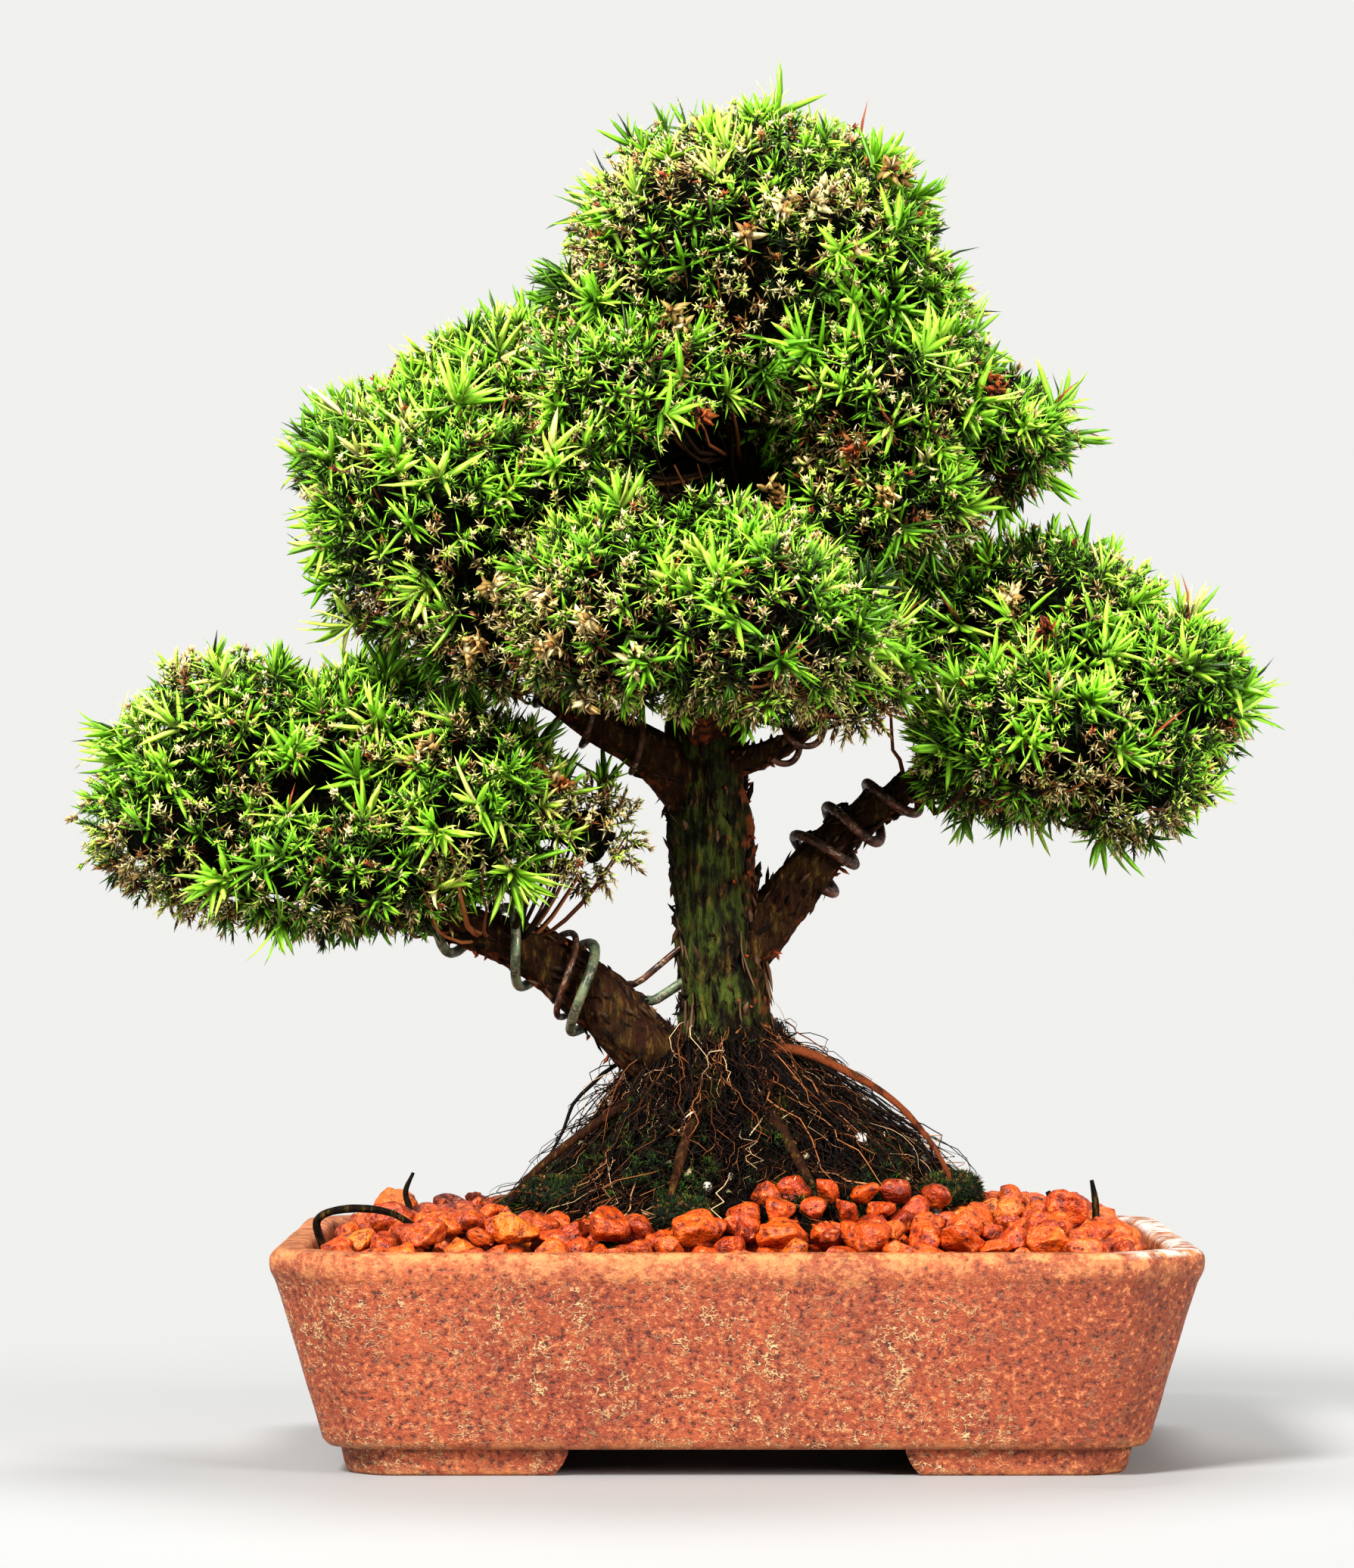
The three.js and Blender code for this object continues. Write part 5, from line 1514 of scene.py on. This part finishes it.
# %% A smooth line through centre points
def smooth_line(table, t):
    """Points in millimetres on a centripetal curve through the table's rows, and the radius there."""
    table = np.array(table, float)
    knots = table[:, :3]
    knots = np.vstack([2 * knots[0] - knots[1], knots, 2 * knots[-1] - knots[-2]])
    place = np.clip(t, 0, 1) * (len(table) - 1)
    index = np.minimum(np.floor(place).astype(int), len(table) - 2)
    w = (place - index)[:, None]
    p0, p1, p2, p3 = (knots[index + k] for k in range(4))
    gap = [np.sqrt(np.linalg.norm(b - a, axis=1, keepdims=True)) for a, b in ((p0, p1), (p1, p2), (p2, p3))]
    out = ((p1 - p0) / gap[0] - (p2 - p0) / (gap[0] + gap[1]) + (p2 - p1) / gap[1]) * gap[1]
    into = ((p2 - p1) / gap[1] - (p3 - p1) / (gap[1] + gap[2]) + (p3 - p2) / gap[2]) * gap[1]
    line = p1 + w * out + w**2 * (3 * (p2 - p1) - 2 * out - into) + w**3 * (2 * (p1 - p2) + out + into)
    radius = blend(table[index, 3], table[index + 1, 3], place - index)
    return line + [0, 0, RIM], radius


def limb_frames(line):
    """Arrows across each point of a line, carried from the front, and square to the line."""
    tangent = unit(np.gradient(line, axis=0))
    across = np.array([0.0, 0, 1]) if abs(tangent[0, 1]) > 0.8 else np.array([0.0, -1, 0])
    carried = []
    for direction in tangent:
        across = unit(across - direction * (across @ direction))
        carried.append(across)
    carried = np.array(carried)
    return tangent, carried, np.cross(tangent, carried)


print("limb lines ready")

# %% Skinning a limb with bark
def add_limb(heap, table, sides, steps, rough, strip, seed, mossy=0.0, peeling=0.0, flare=0.0, bare=0.0,
             slim=0.0):
    """One limb with ridges `rough` mm deep; `shade` marks its moss and `along` its reddish bare wood."""
    line, radius = smooth_line(table, np.linspace(0, 1, steps))
    _, across, side = limb_frames(line)
    run = np.concatenate([[0], np.cumsum(np.linalg.norm(np.diff(line, axis=0), axis=1))])
    turn = np.linspace(0, 2 * np.pi, sides, endpoint=False)
    out = np.cos(turn)[None, :, None] * across[:, None] + np.sin(turn)[None, :, None] * side[:, None]
    around = np.stack([np.cos(turn)[None] * radius[:, None], np.sin(turn)[None] * radius[:, None],
                       np.broadcast_to(run[:, None] * 0.28, (steps, sides))], -1)
    ridges = 1 - 2 * np.abs(lumps(around, 4.2, seed, 2)) ** 0.75
    knots = lumps(around * [1, 1, 2.4], 9.0, seed + 5, 2)
    grit = lumps(around * [1, 1, 2.5], 1.2, seed + 9, 2)
    bulk = radius[:, None] * (1 + 0.07 * knots) + rough * (0.95 * ridges + 0.35 * grit - 0.35)
    bulk -= slim
    bulk += flare * np.exp(-run / 9)[:, None] * (0.7 + 0.3 * np.sin(5 * turn))[None]
    points = (line[:, None] + out * bulk[..., None]).reshape(-1, 3)
    front_left = np.clip(-out[..., 1] * 0.7 - out[..., 0] * 0.55 + 0.15, 0, 1)
    moss = mossy * front_left + 0.25 * mossy
    right_side = smooth_step(out[..., 0] + 0.4 * grit, 0.8, 1.15)
    under = smooth_step(-out[..., 2] + 0.4 * grit, 0.75, 1.1)
    peel = np.maximum(peeling * np.maximum(right_side, under), bare)
    k = np.tile(np.arange(sides), steps - 1)
    low = np.repeat(np.arange(steps - 1), sides) / (steps - 1)
    high = np.repeat(np.arange(1, steps), sides) / (steps - 1)
    u = strip[0] + (strip[1] - strip[0]) * np.stack([k, k + 1, k + 1, k], -1) / sides
    uv = np.stack([u, 0.02 + 0.96 * np.stack([low, low, high, high], -1)], -1)
    uv_caps = np.zeros((2 * sides, 3, 2))
    uv_caps[..., 0] = strip[0] + np.array([0.0, 0.003, 0.0015])
    uv_caps[..., 1] = [0.001, 0.001, 0.015]
    points = np.vstack([from_middle(points), from_middle(line[[0, -1]])])
    moss, peel = (np.append(np.clip(table, 0, 1).ravel(), [0, 0]) for table in (moss, peel))
    heap.add(points, moss, peel, ring_caps(steps, sides), ring_quads(steps, sides), uv_caps, uv)


print("limb maker ready")

# %% [markdown]
# ### Old bark
# Bark is strings of brown, painted paler on the ridges and near black in the furrows, partly as their
# own colour and partly as painted highlight and shade. It has a green film at the front left and
# reddish wood where it has peeled. Painting these two by hand would need an image, so two marks on the
# limbs say where they are.

# %% Bark finish
bark, r, shader = new_finish("old_bark", 0.85, Specular_IOR_Level=0.12)
where = r.place()
stringy = r.noise(r.place((1, 1, 0.22)), 480, 5, 0.7)
broad = r.noise(where, 90, 3)
# ridges are painted paler and furrows near black: partly the bark's colour, partly painted highlight and
# shade
colour = r.scale_of(stringy, (0.32, "#060403"), (0.46, "#100a06"), (0.56, "#2c210e"), (0.66, "#6a5228"),
                    (0.78, "#8e7248"))
colour = r.mix(r.reach(broad, 0.5, 0.64, 0, 0.55), colour, tone("#1a110c"))
film = r.maths("MULTIPLY", r.mark("shade"), r.reach(r.noise(where, 150, 4), 0.38, 0.6))
colour = r.mix(r.maths("MULTIPLY", film, r.reach(stringy, 0.4, 0.56, 0.1, 0.65)), colour, tone("#4b5b22"))
peel = r.maths("MULTIPLY", r.mark("along"), r.reach(r.noise(where, 260, 4), 0.3, 0.5, 0.25, 1.0), True)
colour = r.mix(peel, colour, tone("#864626"))
r.fill(shader.inputs["Base Color"], colour)
r.fill(shader.inputs["Roughness"], r.reach(stringy, 0.3, 0.7, 0.7, 0.95))
r.fill(shader.inputs["Normal"], r.bump(stringy, 1.0, 0.0022))
print("bark finish ready")

# %% Making the wood
def make_wood():
    """Each limb gets its own strip of the sheet that the finish is later laid out on."""
    wood = Heap()
    add_limb(wood, LIMBS["trunk"], 110, 330, 0.75, (0.01, 0.42), 81, mossy=1.0, peeling=0.9)
    limbs = [name for name in LIMBS if name != "trunk"]
    for number, name in enumerate(limbs):
        start = 0.43 + 0.062 * number
        size = 64 if name.startswith("lower") else 36
        rough = 0.6 if name.startswith("lower") else 0.42
        add_limb(wood, LIMBS[name], size, 170, rough, (start, start + 0.056), 90 + number, mossy=0.12,
                 peeling=0.9, flare=2.0, bare=0.1, slim=0.9 if name == "lower_right" else 0.6)
    for number, (name, table) in enumerate(ROOTS.items()):
        start = 0.87 + 0.02 * number
        bare, slim = (0.72, 0.65) if name == "long_right" else (0.12, 0.35)
        add_limb(wood, table, 14, 60, 0.16, (start, start + 0.017), 110 + number, peeling=0.4, bare=bare,
                 slim=slim)
    wood.piece("trunk_bark", bark, "bark", ["trunk_and_branches"])


make_wood()

# %% [markdown]
# ### Bark plates, stubs and twigs
# Plates of bark lift at one end, dead twigs leave short stubs, and thin bare twigs reach from each
# limb into its pad. They are spikes and tubes like the needles and roots, with their own finish.

# %% Plates and stubs
bark_bits, r, shader = new_finish("bark_plates", 0.8, Specular_IOR_Level=0.12)
bit_scale = r.scale_of(r.mark("shade"), (0.0, "#0d0806"), (0.3, "#2f2016"), (0.55, "#5d4430"),
                       (0.75, "#8c6d50"), (0.9, "#9c4a28"), (1.0, "#5d6a2a"))
foot_shadow = r.reach(r.mark("along"), 0.2, 1.0, 0.55, 0.0)
r.fill(shader.inputs["Base Color"], r.mix(foot_shadow, bit_scale, tone("#120b07")))


def limb_spots(rng, name, count, low, high):
    """Random spots on a limb's skin between two places along it, the way out, and the way along."""
    line, radius = smooth_line(LIMBS[name], np.linspace(0, 1, 300))
    tangent, across, side = limb_frames(line)
    pick = rng.integers(int(300 * low), int(300 * high), count)
    turn = rng.uniform(0, 2 * np.pi, count)
    out = np.cos(turn)[:, None] * across[pick] + np.sin(turn)[:, None] * side[pick]
    sunk = 0.2 if name == "trunk" else 0.8
    return from_middle(line[pick] + out * (radius[pick] - sunk)[:, None]), out, tangent[pick]


PLATES = {"trunk": 460, "lower_left": 220, "lower_right": 150}  # the thin limbs have 60 each
PALE_STRIPS = 46  # long pale strips at the foot of the trunk


def make_bark_bits():
    rng = np.random.default_rng(120)
    bits = Heap()
    for name in LIMBS:
        big = name == "trunk"
        many = PLATES.get(name, 60)
        roots, out, tangent = limb_spots(rng, name, many, 0.16 if big else 0.08, 0.75)
        lean = unit(tangent * rng.choice([-1, 1], (many, 1)) + out * rng.uniform(0.05, 0.34, (many, 1))
                    + 0.3 * random_directions(rng, many))
        add_needles(bits, roots, lean, rng.uniform(0.002, 0.0058, many), rng.uniform(0.0004, 0.0010, many),
                    rng.uniform(0.05, 0.66, many), -0.12, (0.0, 0.5), 0.35, rng)
        stubs = many // 4
        roots, out, tangent = limb_spots(rng, name, stubs, 0.16 if big else 0.06, 0.8)
        right = (out[:, 0] > 0.3) | (out[:, 2] < -0.4)
        add_needles(bits, roots, unit(out + 0.7 * random_directions(rng, stubs)),
                    rng.uniform(0.001, 0.0034, stubs), np.full(stubs, 0.0005), np.where(right, 0.9, 0.3),
                    0.2, (0.0, 0.5), 0.9, rng)
    roots, out, tangent = limb_spots(rng, "trunk", PALE_STRIPS, 0.15, 0.34)
    add_needles(bits, roots + out * 0.0006, unit(-tangent + 0.25 * random_directions(rng, PALE_STRIPS)),
                rng.uniform(0.006, 0.014, PALE_STRIPS), rng.uniform(0.0004, 0.0009, PALE_STRIPS),
                rng.choice([0.7, 0.76, 0.99], PALE_STRIPS), 0.1, (0.0, 0.35, 0.7), 0.35, rng)
    bits.piece("trunk_bark_plates", bark_bits, "bark", ["trunk_and_branches"])


make_bark_bits()

# %% Bare twigs into the pads
PAD_LIMBS = {"foliage_lower_left": "lower_left", "foliage_lower_right": "lower_right",
             "foliage_front": "front", "foliage_middle_left": "middle_left",
             "foliage_upper_right": "upper_right", "foliage_apex": "trunk", "foliage_upper_left": "trunk",
             "foliage_back": "back"}


def make_twigs():
    """Sagging twigs from each limb to spots on the underside of its pad."""
    rng = np.random.default_rng(130)
    twigs = Heap()
    for pad, limb in PAD_LIMBS.items():
        spots, outward = spots_on(pad, 0.011, rng)
        low = rng.permutation(np.flatnonzero(outward[:, 2] < 0.35))[:90]
        ends = spots[low] - outward[low] * 0.0005
        line, _ = smooth_line(LIMBS[limb], np.linspace(0.66 if limb == "trunk" else 0.45, 1, 60))
        line = from_middle(line)
        nearest = np.argmin(np.linalg.norm(ends[:, None] - line[None], axis=-1), 1)
        nearest = np.maximum(nearest - rng.integers(0, 14, len(ends)), 0)
        starts = line[nearest]
        t = np.linspace(0, 1, 9)[None, :, None]
        sag = np.array([0, 0, -1.0]) * np.linalg.norm(ends - starts, axis=1)[:, None] * 0.16
        paths = blend(starts[:, None], ends[:, None], t) + 4 * t * (1 - t) * sag[:, None]
        paths = paths + lumps(paths, 0.009, 131, 2)[..., None] * 0.0012 * np.sin(np.pi * t)
        radii = blend(0.0010, 0.00035, t[..., 0]) * rng.uniform(0.6, 1.2, (len(ends), 1))
        add_tubes(twigs, paths, radii, 5, rng.uniform(0.2, 0.7, len(ends)))
    twigs.piece("branch_twigs", fine_roots, "bark", ["trunk_and_branches"])


make_twigs()

# %% [markdown]
# ## Training wire
# Soft wire coils round the limbs and holds them in place. A bevelled curve would need its own turns
# drawn by hand; here the wire follows the same lines as the limbs, at the limb's radius plus its own,
# and its angle grows evenly. One wire has weathered to grey green, the others are brown.

# %% Coils
WIRE_GAP = 0.6  # millimetres between the limb's own radius and the wire, for the bark between them
STEP_ANGLE = 12


def coil(limb, start, end, first_angle, last_angle, radius):
    """Points of a coil between two places along a limb, from one angle to another in degrees."""
    steps = int(abs(last_angle - first_angle) / STEP_ANGLE) + 1
    line, thick = smooth_line(LIMBS[limb], np.linspace(start, end, steps))
    _, across, side = limb_frames(line)
    turn = np.radians(np.linspace(first_angle, last_angle, steps))[:, None]
    return line + (np.cos(turn) * across + np.sin(turn) * side) * (thick + radius + WIRE_GAP)[:, None]


# Radius in millimetres, finish, and the stretches that the wire is wound on
WIRES = {
    "wire_left_branch_thick": (1.35, "green_wire", [("trunk", 0.345, 0.325, 135, 252),
                                                    ("lower_left", 0.17, 0.6, 110, 1080)]),
    "wire_left_branch_thin": (0.9, "brown_wire", [("trunk", 0.385, 0.365, 135, 252),
                                                  ("lower_left", 0.215, 0.42, 110, 590)]),
    "wire_right_branch": (1.35, "brown_wire", [("lower_right", 0.27, 0.62, 40, 1240)]),
    "wire_middle_branch": (0.9, "brown_wire", [("middle_left", 0.26, 0.6, -60, 700)]),
    "wire_right_spur": (0.9, "brown_wire", [("right_spur", 0.42, 0.8, 20, 780)]),
}


def smoothed_path(points, count):
    """The same route with more points, rounded where one stretch meets the next."""
    table = np.column_stack([points - [0, 0, RIM], np.ones(len(points))])
    return smooth_line(table, np.linspace(0, 1, count))[0]


print(len(WIRES), "wires")

# %% Wire finishes
def wire_finish(name, clean, tarnish, metal):
    finish, r, shader = new_finish(name, 0.45, Metallic=metal)
    where = r.place()
    rubbed = r.group(scratch_marks, Vector=where, Scale=600, Width=0.05, Share=0.48)
    colour = r.group(mottling, Vector=where, Scale=220, First=tone(clean), Second=tone(tarnish),
                     Softness=0.08)
    r.fill(shader.inputs["Base Color"], r.mix(r.maths("MULTIPLY", rubbed, 0.6), colour, tone("#b59a7c")))
    r.fill(shader.inputs["Roughness"], r.reach(r.noise(where, 400), 0.35, 0.65, 0.35, 0.65))
    r.fill(shader.inputs["Normal"], r.bump(r.noise(where, 500, 3), 0.3, 0.0004))
    return finish


wire_finishes = {"green_wire": wire_finish("green_wire", "#6f7a5c", "#3c4232", 0.3),
                 "brown_wire": wire_finish("brown_wire", "#5a3626", "#2f1c14", 0.35)}
print("wire finishes ready")

# %% Making the wires
for name, (radius, finish, coils) in WIRES.items():
    points = np.concatenate([coil(*part, radius) for part in coils])
    path = from_middle(smoothed_path(points, len(points) * 2))[None]
    thickness = np.full(path.shape[:2], radius / 1000)
    thickness[:, [0, -1]] *= 0.8
    wire = Heap()
    add_tubes(wire, path, thickness, 12, np.array([0.5]), spread=0.45)
    wire.piece(name + "_coil", wire_finishes[finish], finish, [name])

# %% [markdown]
# ## Moss, bark chip and litter
# Three moss cushions sit at the foot of the mound: a lumpy pad covered in leaflets barely a millimetre
# long. A dark glossy chip of bark leans at the right, and a loop of stray root and three twigs stand
# in the gravel.

# %% Moss cushions
moss_leaves = needle_finish("moss_leaves", 0.6, 0.7)
MOSS_SPACING = 0.0009


def make_moss(node, seed):
    """A cushion sunk a little, under a coat of leaflets; some of them are dry."""
    rng = np.random.default_rng(seed)
    moss = Heap()
    points, outward = spots_on(node, MOSS_SPACING, rng)
    axes = unit(outward + 0.4 * random_directions(rng, len(points)))
    points = points + outward * (0.0006 * lumps(points, 0.004, seed))[:, None]
    shade = 0.03 + 0.06 * rng.normal(size=len(points)) + 0.1 * lumps(points, 0.005, seed + 1)
    shade = np.where(rng.random(len(points)) < 0.15, 0.88, np.clip(shade, 0.0, 0.42))
    grow_shoots(moss, points - outward * 0.0006, axes, shade, rng, 6, (0.0007, 0.0014), 0.0011, 0.00016)
    moss.piece(node + "_leaflets", moss_leaves, "moss", [node])
    shape = welded(node)
    body = np.array([v.co - v.normal * 0.0007 for v in shape.verts])
    faces = np.array([[v.index for v in f.verts] for f in shape.faces])
    shape.free()
    make_piece(node + "_cushion", body, [faces], moss_body, "moss", [node])


moss_body, r, shader = new_finish("moss_body", 0.95)
tufty = r.noise(r.place(), 1400, 4)
r.fill(shader.inputs["Base Color"], r.mix(r.reach(tufty, 0.4, 0.62), tone("#0a0f05"), tone("#26330f")))
r.fill(shader.inputs["Normal"], r.bump(tufty, 1.0, 0.001))
for number, node in enumerate(("moss_right", "moss_front", "moss_left")):
    make_moss(node, 140 + number)

# %% Moss among the roots
def make_moss_film(n=2100):
    """Sparse leaflets among the roots, thickest low down at the front."""
    rng = np.random.default_rng(145)
    angle, height = rng.normal(-1.75, 0.9, n), 3 + rng.gamma(1.6, 7, n)
    places = mound_place(angle, np.minimum(height, 54), 1.2)
    keep = lumps(places, 0.014, 146, 2) > 0.12
    places, angle = places[keep], angle[keep]
    out = unit(np.stack([np.cos(angle), np.sin(angle), np.full(len(angle), 0.8)], -1))
    film = Heap()
    shade = np.clip(0.07 + 0.07 * rng.normal(size=len(places)), 0.0, 0.4)
    grow_shoots(film, places, unit(out + 0.6 * random_directions(rng, len(places))), shade, rng, 6,
                (0.0010, 0.0024), 0.0014, 0.0002)
    film.piece("root_mound_moss", moss_leaves, "moss", ["root_mound"])


make_moss_film()

# %% Bark chip
dark_chip, r, shader = new_finish("dark_bark_chip", 0.28)
where = r.place((1, 1, 3))
layers = r.noise(where, 500, 5, 0.7)
colour = r.mix(r.reach(layers, 0.5, 0.62), tone("#0c0908"), tone("#3a2a20"))
# thin pale marks over the dark chip
pale_marks = r.group(scratch_marks, Vector=where, Scale=300, Width=0.04, Share=0.5)
r.fill(shader.inputs["Base Color"], r.mix(pale_marks, colour, tone("#cfc8bc")))
r.fill(shader.inputs["Roughness"], r.reach(layers, 0.3, 0.7, 0.2, 0.5))
r.fill(shader.inputs["Normal"], r.bump(layers, 0.8, 0.001))
low, high = (np.array(corner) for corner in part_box("bark_chip"))
half_size = (high - low) / 2 * [1.05, 1.1, 1.15]
make_stones("bark_chip_shard", ((low + high) / 2)[None], half_size[None], dark_chip, "dark_bark_chip",
            ["bark_chip"], 150, 0.1, 12, 4)

# %% Litter in the gravel
# Centre points as for the limbs; the places along the tray are shares of the gravel bed
LITTER = {
    "stray_root": [(-GRAVEL_X + 1, -30, -4, 1), (-GRAVEL_X - 1, -33, 5, 1.1), (-GRAVEL_X + 5, -36, 8, 1.1),
                   (-GRAVEL_X + 19, -37, 7, 1), (-GRAVEL_X + 32, -34, -3, 0.9)],
    "twig_left": [(-0.8 * GRAVEL_X, -2, -4, 1.1), (-0.8 * GRAVEL_X, -2, 6, 1),
                  (-0.8 * GRAVEL_X - 1, -2, 11, 0.8), (-0.8 * GRAVEL_X + 1, -2, 16, 0.5)],
    "twig_right": [(0.89 * GRAVEL_X, -2, -4, 1), (0.89 * GRAVEL_X, -2, 8, 0.9),
                   (0.89 * GRAVEL_X - 1, -2, 14, 0.5)],
    "twig_right_short": [(0.79 * GRAVEL_X, -3, -4, 1.2), (0.79 * GRAVEL_X, -3, 7, 1.1),
                         (0.79 * GRAVEL_X - 2, -3, 11, 0.8)],
}
for number, (name, table) in enumerate(LITTER.items()):
    litter = Heap()
    add_limb(litter, table, 14, 70, 0.12, (0.02, 0.98), 160 + number, 0.0, 0.2)
    litter.piece(name + "_strand", bark, "dry_twig", [name])
